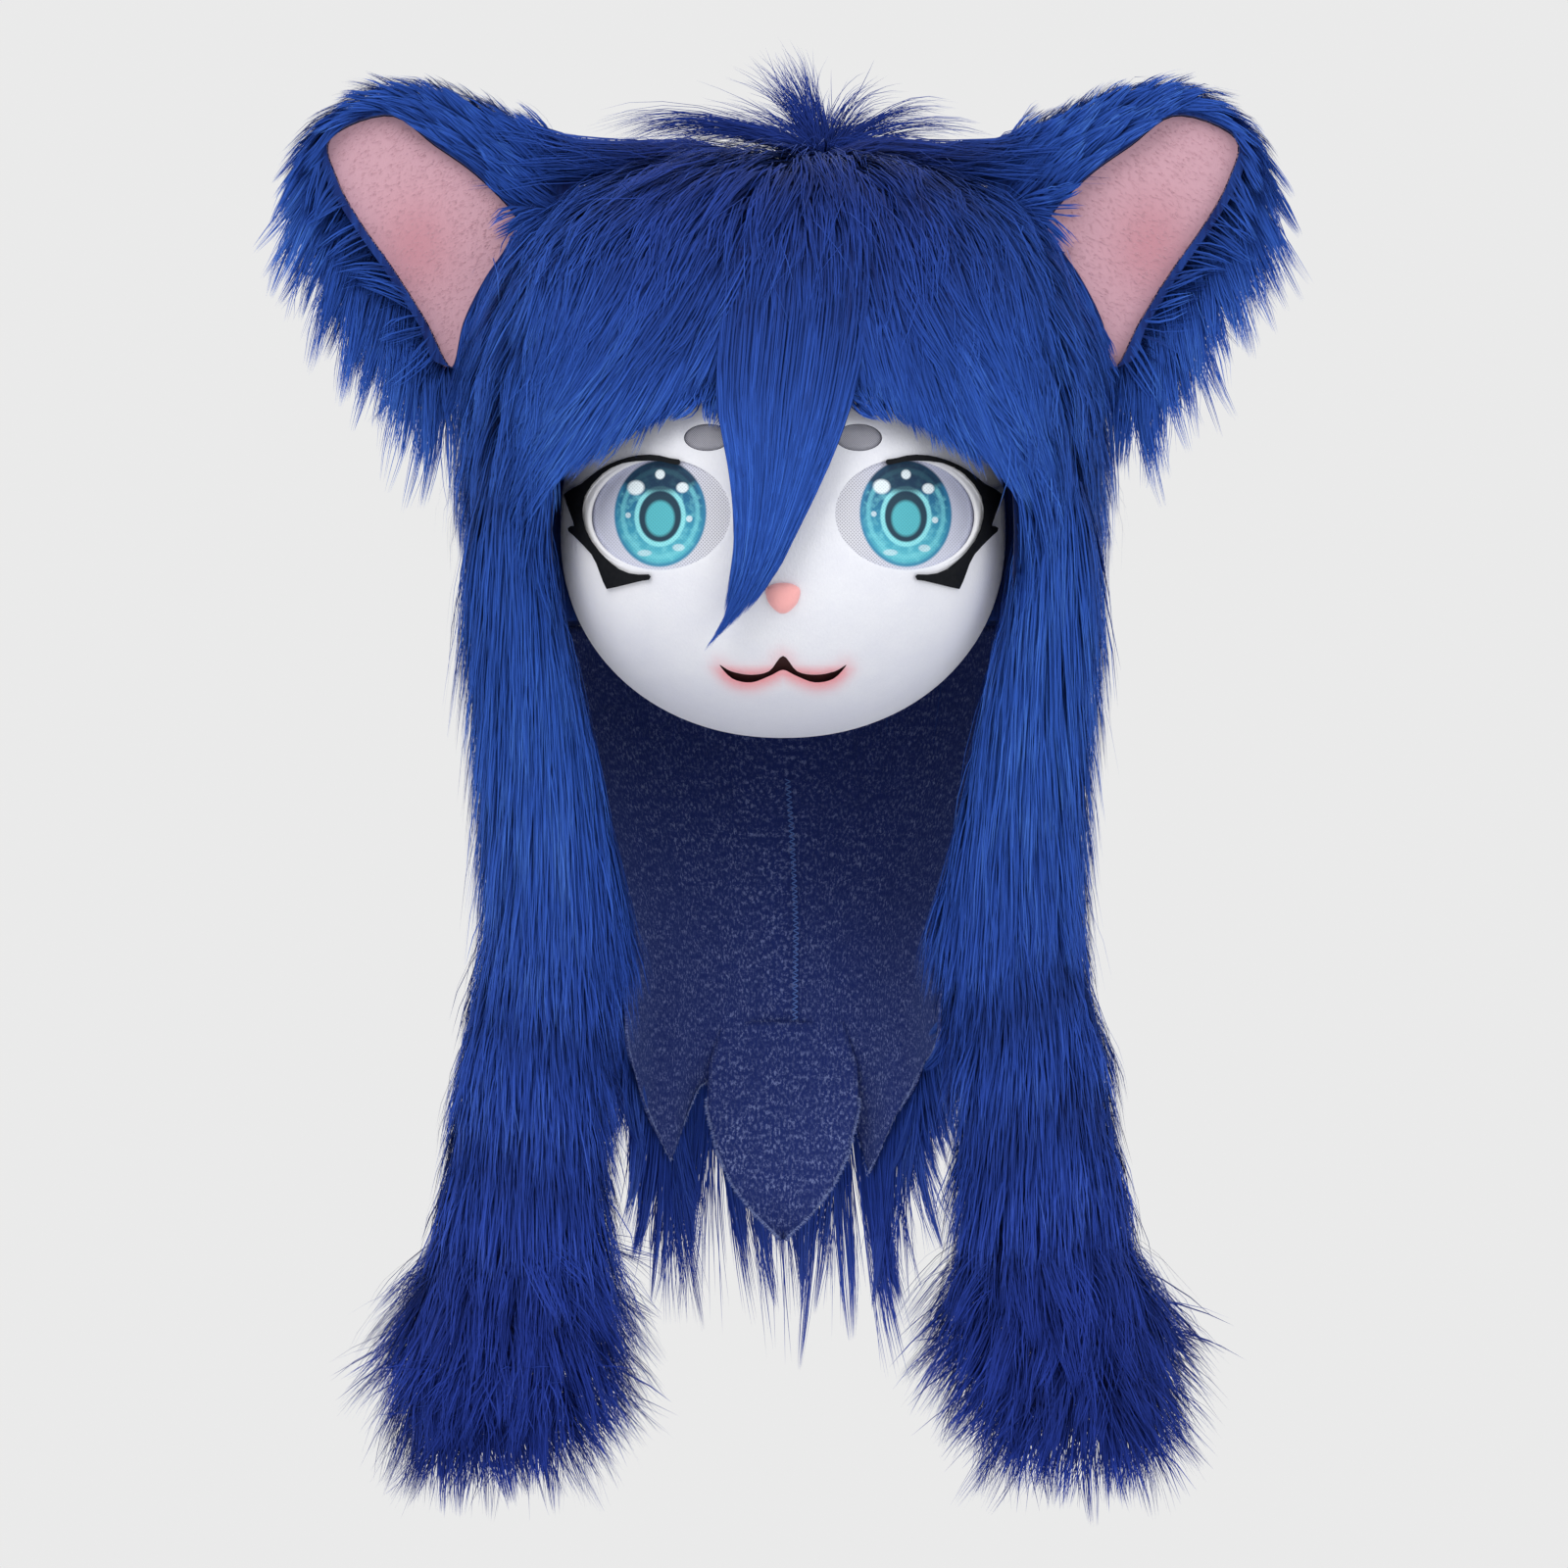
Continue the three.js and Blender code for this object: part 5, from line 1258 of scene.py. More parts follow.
class NoseMouthOperator(bpy.types.Operator):
    """Pink nose and the dark screen behind the mouth"""
    bl_idname = "furhead.nose_mouth"
    bl_label = "Nose and mouth"

    def execute(self, context):
        on_face = face_form().laid(0.0)
        bm = bmesh.new()
        bmesh.ops.create_uvsphere(bm, u_segments=36, v_segments=20, radius=1)
        for vert in bm.verts:
            x, y, z = vert.co
            narrow = float(np.interp(z, [-1, -0.6, 0.1, 0.55, 1], [0.45, 0.62, 0.95, 1.06, 0.95]))
            wide = soften(x, 0.8) * narrow * NOSE_HALF_WIDTH
            high = soften(z, 0.72) * NOSE_HALF_HEIGHT + NOSE_Z
            vert.co = (wide, on_face(wide, high) + y * 0.0050, high)
        bmesh.ops.recalc_face_normals(bm, faces=bm.faces[:])
        mesh = mesh_from(bm, "nose_pad")
        put(mesh, "shade", np.zeros(len(mesh.vertices)))
        pink = colours().nose
        plush = pink_material("nose_plush", pink, dim(pink, 0.7))
        nose = piece_of("nose_pad", mesh, plush, "nose")
        outline = [(-0.0365, -0.272), (0.0365, -0.272), (0.0365, -0.250), (-0.0365, -0.250)]
        cloth = mesh_material("mouth_screen_mesh", (0.055, 0.022, 0.022), (0.010, 0.004, 0.004))
        patch_piece("mouth_cloth", outline, face_form().laid(-0.0044), 0.004, MESH_WALL, cloth,
                    "mouth_screen")
        return {"FINISHED"}


# Ears: outlines as shares of an ear's width and height
EAR_EDGE = [
    (0.0, 0.82), (0.14, 0.865), (0.3, 0.93), (0.47, 0.98), (0.63, 1.0), (0.79, 0.975),
    (0.93, 0.905), (1.0, 0.8), (0.975, 0.66), (0.87, 0.5), (0.74, 0.335), (0.62, 0.165),
    (0.51, 0.01), (0.06, 0.0), (-0.12, 0.4),
]
LINING_EDGE = [
    (0.93, 0.82), (0.7, 0.9), (0.52, 0.795), (0.35, 0.685), (0.2, 0.535), (0.25, 0.44),
    (0.33, 0.335), (0.41, 0.19), (0.46, 0.03), (0.56, 0.19), (0.68, 0.36), (0.81, 0.525), (0.9, 0.67),
]
# The long locks grow from this part of an ear's edge
EAR_LOCK_EDGE = np.array([
    (0.80, 0.97), (0.93, 0.90), (0.98, 0.80), (0.95, 0.66), (0.86, 0.5), (0.74, 0.335), (0.62, 0.165),
    (0.52, 0.03),
])
EAR_X, EAR_WIDE = 0.111, 0.135
EAR_Z, EAR_TALL = -0.1075, 0.152
EAR_FRONT = -0.019


def ear_place(side, reach, rise):
    return (side * (EAR_X + reach * EAR_WIDE), EAR_Z + rise * EAR_TALL)


def dish_depth(side, x, z, deeper=0.0):
    """Depth of the hollow in the front of an ear."""
    middle_x, middle_z = ear_place(side, 0.58, 0.52)
    flat = 1 - ((x - middle_x) / 0.0891) ** 2 - ((z - middle_z) / 0.1034) ** 2
    return EAR_FRONT + 0.011 * np.sqrt(np.maximum(flat, 0.0)) + deeper


def shrunk(outline, distance):
    """An outline moved inwards by a distance."""
    points = np.array(outline)
    before, after = np.roll(points, 1, axis=0), np.roll(points, -1, axis=0)
    along = unit(after - before)
    normal = np.stack([along[:, 1], -along[:, 0]], axis=1)
    turn = np.sign((points[:, 0] * after[:, 1] - after[:, 0] * points[:, 1]).sum())
    return [tuple(p) for p in points - normal * turn * distance]


def mesh_arrays(mesh):
    """Points, triangles, and each triangle's normal and area."""
    mesh.calc_loop_triangles()
    points = points_of(mesh)
    tris = np.empty(len(mesh.loop_triangles) * 3, np.int32)
    mesh.loop_triangles.foreach_get("vertices", tris)
    tris = tris.reshape(-1, 3)
    cross = np.cross(points[tris[:, 1]] - points[tris[:, 0]], points[tris[:, 2]] - points[tris[:, 0]])
    return points, tris, unit(cross), np.linalg.norm(cross, axis=1) / 2


def scatter(arrays, count, rng, keep):
    """Random places on a mesh that keep() accepts, with the way out there."""
    points, tris, normals, areas = arrays
    places, ways = [], []
    total = 0
    while total < count:
        pick = rng.choice(len(tris), count, p=areas / areas.sum())
        a, b = rng.uniform(0, 1, (2, count))
        a, b = np.where(a + b > 1, 1 - a, a), np.where(a + b > 1, 1 - b, b)
        corner = points[tris[pick]]
        edges = corner[:, 1:] - corner[:, :1]
        spots = corner[:, 0] + edges[:, 0] * a[:, None] + edges[:, 1] * b[:, None]
        good = keep(spots, normals[pick])
        places.append(spots[good])
        ways.append(normals[pick][good])
        total += int(good.sum())
    return np.concatenate(places)[:count], np.concatenate(ways)[:count]


def combed(roots, ways, aim, lengths, lift, steps, droop=0.0):
    """Strands that leave a skin, lie over along their aim and may droop."""
    share = np.linspace(0, 1, steps + 1)[None, :, None]
    lie = unit(aim - ways * np.minimum(0, (aim * ways).sum(-1, keepdims=True)))
    run = lengths[:, None, None] * share
    up = lift[:, None, None] * np.sin(np.minimum(1, share * 1.5) * QUARTER_TURN)
    paths = roots[:, None] + lie[:, None] * run + ways[:, None] * up
    paths[..., 2] -= (droop * lengths)[:, None] * share[..., 0] ** 2
    return paths


class EarsOperator(bpy.types.Operator):
    """Cupped ears: dark fur backing, pink plush lining and long fur"""
    bl_idname = "furhead.ears"
    bl_label = "Ears"

    def execute(self, context):
        for side, word in SIDES:
            pad, lining_edge = self.backing(side, word)
            self.lining(side, word, lining_edge)
            self.fur(side, word, pad, lining_edge)
        return {"FINISHED"}

    def backing(self, side, word):
        edge = shrunk(smooth_loop([ear_place(side, a, b) for a, b in EAR_EDGE], 72), 0.005)
        bm = prism_bmesh(edge, EAR_FRONT + 0.002, 0.005)
        lining_edge = smooth_loop([ear_place(side, a, b) for a, b in LINING_EDGE], 72)
        hollow = patch_bmesh(lining_edge, lambda x, z: float(dish_depth(side, x, z, 0.0035)), 0.008)
        for vert in extruded(hollow):
            vert.co.y = -0.05
        bmesh.ops.recalc_face_normals(hollow, faces=hollow.faces[:])
        dome = round_bmesh(hood_form(), 0.0063, 24, 48)
        mesh = carved(bm, [("DIFFERENCE", hollow), ("DIFFERENCE", dome)], f"ear_pad_{word}")
        pad = piece_of(f"ear_pad_{word}", mesh, underfur_material(), sharp=50)
        return pad, lining_edge

    def lining(self, side, word, lining_edge):
        edge = shrunk(lining_edge, 0.0006)
        bm = patch_bmesh(edge, lambda x, z: float(dish_depth(side, x, z)), 0.004)
        mesh = mesh_from(thicken(bm, 0.0025), f"ear_plush_{word}")
        # Painted shade in a soft dent of the pink lining, as shade values
        dent_shade = np.array(ear_place(side, 0.60, 0.42)) + np.array([0.0, 0.005])
        gap = np.linalg.norm((points_of(mesh)[:, [0, 2]] - dent_shade) / np.array([0.020, 0.026]), axis=1)
        put(mesh, "shade", np.exp(-gap ** 2) * 0.6)
        minky = pink_material("pink_minky", colours().pink, (0.50, 0.19, 0.23))
        piece = piece_of(f"ear_plush_{word}", mesh, minky, f"ear_lining_{word}", sharp=60)
        self.pile(side, word, mesh, minky)

    def pile(self, side, word, mesh, material):
        """Short nap that stands on the pink plush."""
        rng = np.random.default_rng(47)
        count = 3600
        roots, ways = scatter(mesh_arrays(mesh), count, rng, lambda spots, out: out[:, 1] < -0.3)
        aim = unit(ways * 0.3 + np.array([side * 0.9, 0, -0.5]) + rng.normal(0, 0.2, (count, 3)))
        paths = straight(roots - ways * 0.0006, aim, rng.uniform(0.0025, 0.0050, count))
        batch = (paths, (0, -1.0, 0.2), np.full(count, 0.0003), np.ones(count))
        piece_of(f"ear_nap_{word}", hair_mesh(f"ear_nap_{word}", [batch], rng), material)

    def fur(self, side, word, pad, lining_edge):
        rng = np.random.default_rng(41 if side < 0 else 43)
        h = hair()
        middle = np.mean(lining_edge, axis=0)
        rim = np.array(lining_edge) - middle
        rim_angle = np.arctan2(rim[:, 1], rim[:, 0])
        order = np.argsort(rim_angle)

        def keep(spots, ways):
            radial = spots[:, [0, 2]] - middle
            reach = np.interp(np.arctan2(radial[:, 1], radial[:, 0]), rim_angle[order],
                              np.linalg.norm(rim, axis=1)[order], period=math.tau)
            in_dish = (np.linalg.norm(radial, axis=1) < reach + 0.001) & (spots[:, 1] < -0.004)
            outer = (spots[:, 1] < -0.012) & (side * radial[:, 0] - radial[:, 1] > 0.03)
            away = (side * spots[:, 0] > 0.116) & (side * ways[:, 0] > -0.55)
            return away & ~in_dish & (~outer | (rng.uniform(0, 1, len(spots)) < 0.3))

        count = h.ear_count
        roots, ways = scatter(mesh_arrays(pad.data), count, rng, keep)
        rise = (roots[:, 2] - EAR_Z) / EAR_TALL
        reach = (side * roots[:, 0] - EAR_X) / EAR_WIDE
        front = roots[:, 1] < -0.008
        rear_slope = np.interp(reach, [0, 0.35, 0.75, 1.0], [0.35, 0.05, -0.35, -1.1])
        rear_slope = rear_slope - np.clip(0.75 - rise, 0, 1)
        front_slope = np.interp(reach, [0, 0.35, 0.55, 0.75, 0.9, 1.0], [1.0, 0.85, 0.62, 0.0, -0.7, -1.2])
        aim = np.stack([
            side * np.interp(reach, [0, 0.6, 1.0], [0.9, 0.85, 0.45]),
            np.where(front, -0.04, 0.12),
            np.where(front, front_slope, rear_slope),
        ], axis=1)
        inner = np.clip((0.62 - rise) / 0.10, 0, 1) * np.clip((0.62 - reach) / 0.10, 0, 1) * front
        aim = aim + (np.array([0.42, -0.05, -0.9]) * [side, 1, 1] - aim) * inner[:, None]
        aim = unit(aim + rng.normal(0, 0.10, (count, 3)))
        lengths = np.where(front, 0.024, h.ear_fur) * rng.uniform(0.6, 1.15, count)
        lift = rng.uniform(0.002, 0.009, count) * np.where(front, 0.5, 1.0)
        paths = combed(roots, ways, aim, lengths, lift, 3, 0.12)
        batches = [locks(paths, ways[:, None], rng, (0.6, 18))]

        count = int(h.ear_count * 0.38)
        along = rng.uniform(0.6, 7, count)
        spots = np.stack([np.interp(along, range(8), column) for column in EAR_LOCK_EDGE.T], axis=1)
        spots[:, 0] -= rng.uniform(0.0, 0.10, count)
        x, z = ear_place(side, spots[:, 0], spots[:, 1])
        roots = np.stack([x, rng.uniform(-0.008, 0.006, count), z], axis=1)
        lean = np.interp(along, [0, 1, 2, 4, 7], [1.0, 0.75, 0.48, 0.26, 0.02])
        aim = unit(np.stack([side * lean, np.zeros(count) + 0.05, -1.0 + lean * 0.3], axis=1)
                   + rng.normal(0, 0.13, (count, 3)) * np.array([1, 0.7, 0.6]))
        longer = np.interp(along, [0, 1.5, 3, 7], [0.5, 0.72, 1.0, 1.05])
        lengths = h.ear_fringe * rng.uniform(0.4, 1.25, count) * longer
        ways = np.broadcast_to(np.array([side * 0.3, -0.9, 0.2]), (count, 3))
        paths = combed(roots, ways, aim, lengths, rng.uniform(0, 0.004, count), 6, 0.10)
        batches.append(locks(paths, (0, -1.0, 0.1), rng, (0.8, 20, 1.5), 0.62, (0.9, 0.1)))
        fur_piece(f"ear_fur_{word}", batches, rng, f"ear_{word}")


# Lappets: share of the length, outer and inner side as shares of the reach, and share of the half depth
LAPPET_ROWS = np.array([
    (0.0, 0.78, 0.61, 0.55), (0.1, 0.79, 0.565, 0.8), (0.2, 0.77, 0.5, 0.9), (0.32, 0.765, 0.43, 0.95),
    (0.44, 0.76, 0.36, 1.0), (0.49, 0.78, 0.38, 0.95), (0.58, 0.83, 0.41, 1.0), (0.69, 0.87, 0.41, 1.05),
    (0.79, 0.92, 0.4, 1.15), (0.88, 1.0, 0.385, 1.35), (0.95, 0.99, 0.44, 1.25), (1.0, 0.9, 0.58, 0.7),
])
LAPPET_TOP = -0.150
LAPPET_HALF_DEPTH = 0.030


def lappet_points(side, share, angle, scale):
    """Places on a lappet at a share of its length and an angle round it, with the way out."""
    s = sizes()
    outer, inner, deep = (np.interp(share, LAPPET_ROWS[:, 0], column) for column in LAPPET_ROWS[:, 1:].T)
    outer, inner, deep = outer * s.lappet_reach, inner * s.lappet_reach, deep * LAPPET_HALF_DEPTH
    wide = (outer - inner) / 2
    out = np.stack([side * np.cos(angle), -np.sin(angle), np.zeros_like(angle)], axis=-1)
    centre = np.stack([
        side * (outer + inner) / 2, -0.052 - 0.014 * (1 - share) ** 4, LAPPET_TOP - share * s.lappet_length,
    ], axis=-1)
    reach = np.stack([wide, deep, np.zeros_like(wide)], axis=-1) * scale
    way = unit(np.stack([out[..., 0] / np.maximum(wide, 1e-4), out[..., 1] / deep, out[..., 2]], axis=-1))
    return centre + out * reach, way


class LappetsOperator(bpy.types.Operator):
    """Two long hanging fur lappets with tousled ends"""
    bl_idname = "furhead.lappets"
    bl_label = "Lappets"

    def execute(self, context):
        for side, word in SIDES:
            self.core(side, word)
            self.fur(side, word)
        return {"FINISHED"}

    def core(self, side, word):
        bm = bmesh.new()
        bmesh.ops.create_uvsphere(bm, u_segments=28, v_segments=44, radius=1)
        for vert in bm.verts:
            ring = max(1e-6, math.hypot(vert.co.x, vert.co.y))
            polar = math.acos(max(-1, min(1, vert.co.z))) / math.pi
            share = 0.02 + 0.95 * polar
            angle = math.atan2(-vert.co.y, side * vert.co.x)
            close = min(1.0, ring * 3.2) * 0.70
            place, _ = lappet_points(side, np.array(share), np.array(angle), close)
            vert.co = Vector(place)
        bmesh.ops.recalc_face_normals(bm, faces=bm.faces[:])
        core = mesh_from(bm, f"lappet_core_{word}")
        return piece_of(f"lappet_core_{word}", core, underfur_material())

    def fur(self, side, word):
        rng = np.random.default_rng(51 if side < 0 else 53)
        h = hair()
        count = int(h.lappet_count * 0.82)
        share = rng.uniform(0.02, 0.99, count) ** 0.92
        angle = rng.uniform(0, math.tau, count)
        roots, ways = lappet_points(side, share, angle, 0.72)
        wave = np.sin(share * 44 + np.sin(angle * 2) * 0.8 + side)
        lower = np.clip((share - 0.36) / 0.12, 0, 1)
        end = np.clip((share - 0.78) / 0.15, 0, 1)
        tilt = 0.08 + 0.08 * lower + 0.55 * end
        aim = np.array([0, 0, -1.0]) + ways * tilt[:, None]
        aim = aim + rng.normal(0, 1, (count, 3)) * (0.05 + 0.04 * lower + 0.24 * end)[:, None]
        swirl = rng.normal(0, 1, (60, 3)) * 0.35
        aim = aim + swirl[(share * 12).astype(int) * 5 % 60 + (angle * 0.79).astype(int) % 5] * end[:, None]
        lengths = h.lappet_fur * (1.55 - 0.60 * lower + 0.10 * end) * rng.uniform(0.6, 1.1, count)
        lift = rng.uniform(0.003, 0.008, count) * (1 + 0.35 * wave * lower)
        paths, nearest = clumped(combed(roots, ways, unit(aim), lengths, lift, 3, 0.05), rng, 0.30, 16, 1.8)
        light = tones(nearest, rng) * 0.85 + 0.14 - 0.16 * lower - 0.10 * end
        # Painted light on the crests of the waves, where the fur bulges out, and painted shade between them
        light = np.clip(light + 0.26 * wave * lower, 0, 1)
        batches = [(paths, ways[:, None], widths_of(count, rng), light)]

        count = h.lappet_count - count
        share = rng.uniform(0.80, 1.0, count)
        angle = rng.uniform(0, math.tau, count)
        roots, ways = lappet_points(side, share, angle, 0.70)
        end = np.clip((share - 0.80) / 0.2, 0, 1)
        aim = ways * (0.75 - 0.45 * end)[:, None] + np.array([0, 0, -0.85])
        aim = unit(aim + rng.normal(0, 0.25, (count, 3)))
        lengths = h.lappet_fur * rng.uniform(0.6, 1.15, count)
        paths = combed(roots, ways, aim, lengths, rng.uniform(0.002, 0.008, count), 5, 0.15)
        batches.append(locks(paths, ways[:, None], rng, (0.8, 24, 1.2), 0.6, (0.75, 0.0)))
        fur_piece(f"lappet_fur_{word}", batches, rng, f"lappet_{word}")


# Cloth behind the neck: how far down it reaches over its width, and the petal's width over its length
NAPE_EDGE = (
    [-1.0, -0.8, -0.62, -0.47, -0.31, -0.15, 0.0, 0.2, 0.31, 0.47, 0.7, 1.0],
    [0.735, 0.8, 0.89, 0.97, 0.84, 0.8, 0.79, 0.83, 1.0, 0.89, 0.79, 0.735],
)
PETAL_ROWS = ([0, 0.2, 0.4, 0.6, 0.75, 0.88, 1.0], [0.8, 0.97, 1.0, 0.86, 0.66, 0.38, 0.03])
PETAL_HALF_WIDTH = 0.041
PETAL_START = 0.72
PETAL_CURL = 0.010
# Half width, half depth and middle of the cloth's curve at the start of the petal
NAPE_LOW_WIDE, NAPE_LOW_BOW, NAPE_LOW_MIDDLE = 0.082, 0.050, 0.060
# Four points of a stitch: a share of its half width, then out and up
STITCH = ((-1, 0.0004, 0.0007), (-0.3, -0.0009, 0.0002), (0.4, -0.0009, -0.0002), (1, 0.0004, -0.0007))
NAPE_LOCKS = 26


def nape_place(across, z, outward):
    s = sizes()
    share = np.clip((-s.neck_depth - z) / (s.nape_length * PETAL_START), 0, 1)
    ease = share * share * (3 - 2 * share)
    grown = s.hood_drop + s.hood_wall / 2
    girth = (1 - ((s.neck_depth - s.hood_rise) / grown) ** HOOD_ROUNDNESS) ** (1 / HOOD_ROUNDNESS)
    wide = (s.hood_half_width + s.hood_wall / 2) * girth
    bow = (s.hood_back + s.hood_wall / 2) * girth
    wide = wide + (NAPE_LOW_WIDE - wide) * ease + outward
    bow = bow + (NAPE_LOW_BOW - bow) * ease + outward
    middle = HOOD_MIDDLE + NAPE_LOW_MIDDLE * ease
    angle = across * QUARTER_TURN
    x = np.sign(across) * np.abs(np.sin(angle)) ** 0.8
    return np.stack([wide * x, middle + bow * np.abs(np.cos(angle)) ** 0.8, z + 0 * across], axis=-1)


class NapeOperator(bpy.types.Operator):
    """Fur cloth behind the neck, its knit backing inwards, cut in three points"""
    bl_idname = "furhead.nape"
    bl_label = "Nape cloth"

    def execute(self, context):
        cloth = self.cloth()
        thin = cloth.modifiers.new("Cloth", "SOLIDIFY")
        thin.thickness = 0.0016
        thin.offset = 0
        self.stitches()
        self.frays()
        self.fur()
        return {"FINISHED"}

    def cloth(self):
        s = sizes()
        top = -s.neck_depth - 0.0003
        start = top - s.nape_length * PETAL_START

        def back(across, down):
            z = top - float(np.interp(across, *NAPE_EDGE)) * s.nape_length * down
            fold = 0.0025 * math.sin(across * 21 + down * 2) * down ** 2 * max(0.0, 1 - abs(across))
            return nape_place(np.array(across), np.array(z), 0.00125 + fold), (across * 0.21, z)

        def petal(across, down):
            z = start - down * s.petal_length
            x = across * float(np.interp(down, *PETAL_ROWS)) * PETAL_HALF_WIDTH
            curl = PETAL_CURL * (1 - math.cos(min(1, down * 1.3) * math.pi))
            cup = 0.005 * across ** 2 * (0.4 + down)
            return (x, 0.120 + 0.0004 - curl - cup, z), (x, z)

        bm = self.grid(88, 60, back)
        lip = self.grid(22, 44, petal)
        bmesh.ops.recalc_face_normals(lip, faces=lip.faces[:])
        lip_mesh = mesh_from(lip, "lip")
        bm.from_mesh(lip_mesh)
        bpy.data.meshes.remove(lip_mesh)
        bmesh.ops.remove_doubles(bm, verts=bm.verts[:], dist=1e-6)
        return piece_of("nape_cloth", mesh_from(bm, "nape_cloth"), knit_material(), "nape_panel")

    def grid(self, columns, rows, shape):
        """A grid whose points and UV map come from shape(across, down)."""
        bm = bmesh.new()
        bmesh.ops.create_grid(bm, x_segments=columns, y_segments=rows, size=1)
        uv = bm.loops.layers.uv.new("cloth")
        flat = {}
        for vert in bm.verts:
            vert.co, flat[vert] = shape(vert.co.x, (1 - vert.co.y) / 2)
        for face in bm.faces:
            for loop in face.loops:
                loop[uv].uv = flat[loop.vert]
        return bm

    def stitches(self):
        """Overlock loops along the centre seam."""
        rng = np.random.default_rng(61)
        count = 92
        z = np.linspace(-0.318, -0.446, count)
        x = 0.0035 * np.clip((-0.30 - z) / 0.10, 0, 1)
        back = nape_place(x / 0.13, z, -0.0009)
        slant = 0.0015 * np.where(np.arange(count) % 2 == 0, 1.0, -1.0)
        ends = np.stack([
            back + np.stack([slant * wide, np.full(count, out), np.full(count, up)], 1)
            for wide, out, up in STITCH
        ], axis=1)
        mesh = hair_mesh("seam_stitches", [
            (run, (0, -1.0, 0), np.full(count, 0.0006), rng.uniform(0.5, 1, count))
            for run in (ends, ends[:, ::-1])
        ], rng)
        piece_of("seam_stitches", mesh, thread_material())

    def frays(self):
        """Short pale threads along the cut edges of the cloth."""
        rng = np.random.default_rng(63)
        s = sizes()
        count = 1800
        top = -s.neck_depth
        across = rng.uniform(-1, 1, count)
        petal = rng.uniform(0, 1, count) < 0.45
        z_edge = top - np.interp(across, *NAPE_EDGE) * s.nape_length
        on_cloth = nape_place(across, z_edge, 0.0006)
        down = rng.uniform(0.35, 1, count)
        side = np.sign(across)
        x = side * np.interp(down, *PETAL_ROWS) * PETAL_HALF_WIDTH
        z = top - s.nape_length * PETAL_START - down * s.petal_length
        curl = PETAL_CURL * (1 - np.cos(np.minimum(1, down * 1.3) * math.pi))
        on_petal = np.stack([x, 0.1198 - curl - 0.005 * (0.4 + down), z], axis=1)
        roots = np.where(petal[:, None], on_petal, on_cloth)
        sideways = np.stack([side, np.zeros(count), np.full(count, -0.6)], axis=1)
        aim = np.where(petal[:, None], sideways, np.array([0, 0, -1.0]))
        aim = unit(aim + rng.normal(0, 0.45, (count, 3)))
        paths = straight(roots - aim * 0.0008, aim, rng.uniform(0.0012, 0.0030, count))
        threads = (paths, (0, -1.0, 0), np.full(count, 0.0004), rng.uniform(0, 1, count))
        piece_of("cloth_frays", hair_mesh("cloth_frays", [threads], rng), fray_material())

    def fur(self):
        rng = np.random.default_rng(67)
        s = sizes()
        h = hair()
        count = int(h.nape_count * 0.56)
        across = rng.uniform(-1, 1, count)
        down = rng.uniform(0, 1, count) ** 0.9
        z = -s.neck_depth - 0.001 - down * np.interp(across, *NAPE_EDGE) * s.nape_length * 0.93
        roots, ways = self.rooted(across, z, 0.0030)
        aim = unit(np.array([0, 0, -1.0]) + ways * 0.16 + rng.normal(0, 0.07, (count, 3)))
        lengths = rng.uniform(0.045, 0.075, count)
        paths = combed(roots, ways, aim, lengths, rng.uniform(0.003, 0.009, count), 3)
        batches = [locks(paths, ways[:, None], rng, (0.55, 24), 1.2)]

        count = h.nape_count - count
        across = rng.uniform(-0.98, 0.98, count)
        z = -s.neck_depth - rng.uniform(0.68, 0.96, count) * np.interp(across, *NAPE_EDGE) * s.nape_length
        roots, ways = self.rooted(across, z, 0.0035)
        lock = ((across + 1) * NAPE_LOCKS / 2).astype(int)
        longer = rng.uniform(0.86, 1.10, NAPE_LOCKS)[lock]
        bulge = (0.50 + 1.20 * np.cos(across * QUARTER_TURN) ** 2) * longer
        lengths = h.nape_fur * bulge * rng.uniform(0.6, 1.12, count)
        aim = unit(np.array([0, 0, -1.0]) + ways * 0.05 + rng.normal(0, 0.05, (count, 3)))
        aim[:, 0] -= across * 0.05
        paths = combed(roots, ways, unit(aim), lengths, rng.uniform(0.002, 0.008, count), 6)
        lean = rng.uniform(-1, 1, NAPE_LOCKS)[lock]
        paths[..., 0] += lean[:, None] * 0.016 * np.linspace(0, 1, 7) ** 2
        batches.append(locks(paths, ways[:, None], rng, (0.92, 44, 1.2), 0.80, (0.9, 0.42)))
        fur_piece("nape_fur_back", batches, rng, "nape_fur")

    def rooted(self, across, z, outward):
        roots = nape_place(across, z, outward)
        return roots, unit((roots - np.array([0, 0.02, 0])) * np.array([1, 1, 0]))


# Stage, light and camera
LIGHT_TARGET = (0, -0.05, -0.28)
LIGHTS = (
    ("key", (-0.9, -2.0, 1.5), 1.5, 30, (1, 0.99, 0.97)),
    ("fill", (1.6, -1.8, 0.4), 1.6, 12, (0.96, 0.98, 1)),
    ("top", (0.0, 0.3, 1.9), 1.4, 6, (1, 1, 1)),
    ("back", (0.4, 2.2, 0.7), 1.5, 20, (1, 1, 1)),
)
CAMERA_PLACE = (0.0005, -4.56, -0.32)
CAMERA_LENS, CAMERA_SENSOR = 200, 36
FLOOR_RADIUS, FLOOR_LEVEL = 1.7, -0.95


def area_light(name, place, width, power, tone):
    data = bpy.data.lights.new(name, "AREA")
    data.shape = "DISK"
    data.size = width
    data.energy = power
    data.color = tone
    lamp = bpy.data.objects.new(name, data)
    lamp.location = place
    lamp.rotation_euler = (Vector(LIGHT_TARGET) - Vector(place)).to_track_quat("-Z", "Y").to_euler()
    bpy.context.collection.objects.link(lamp)


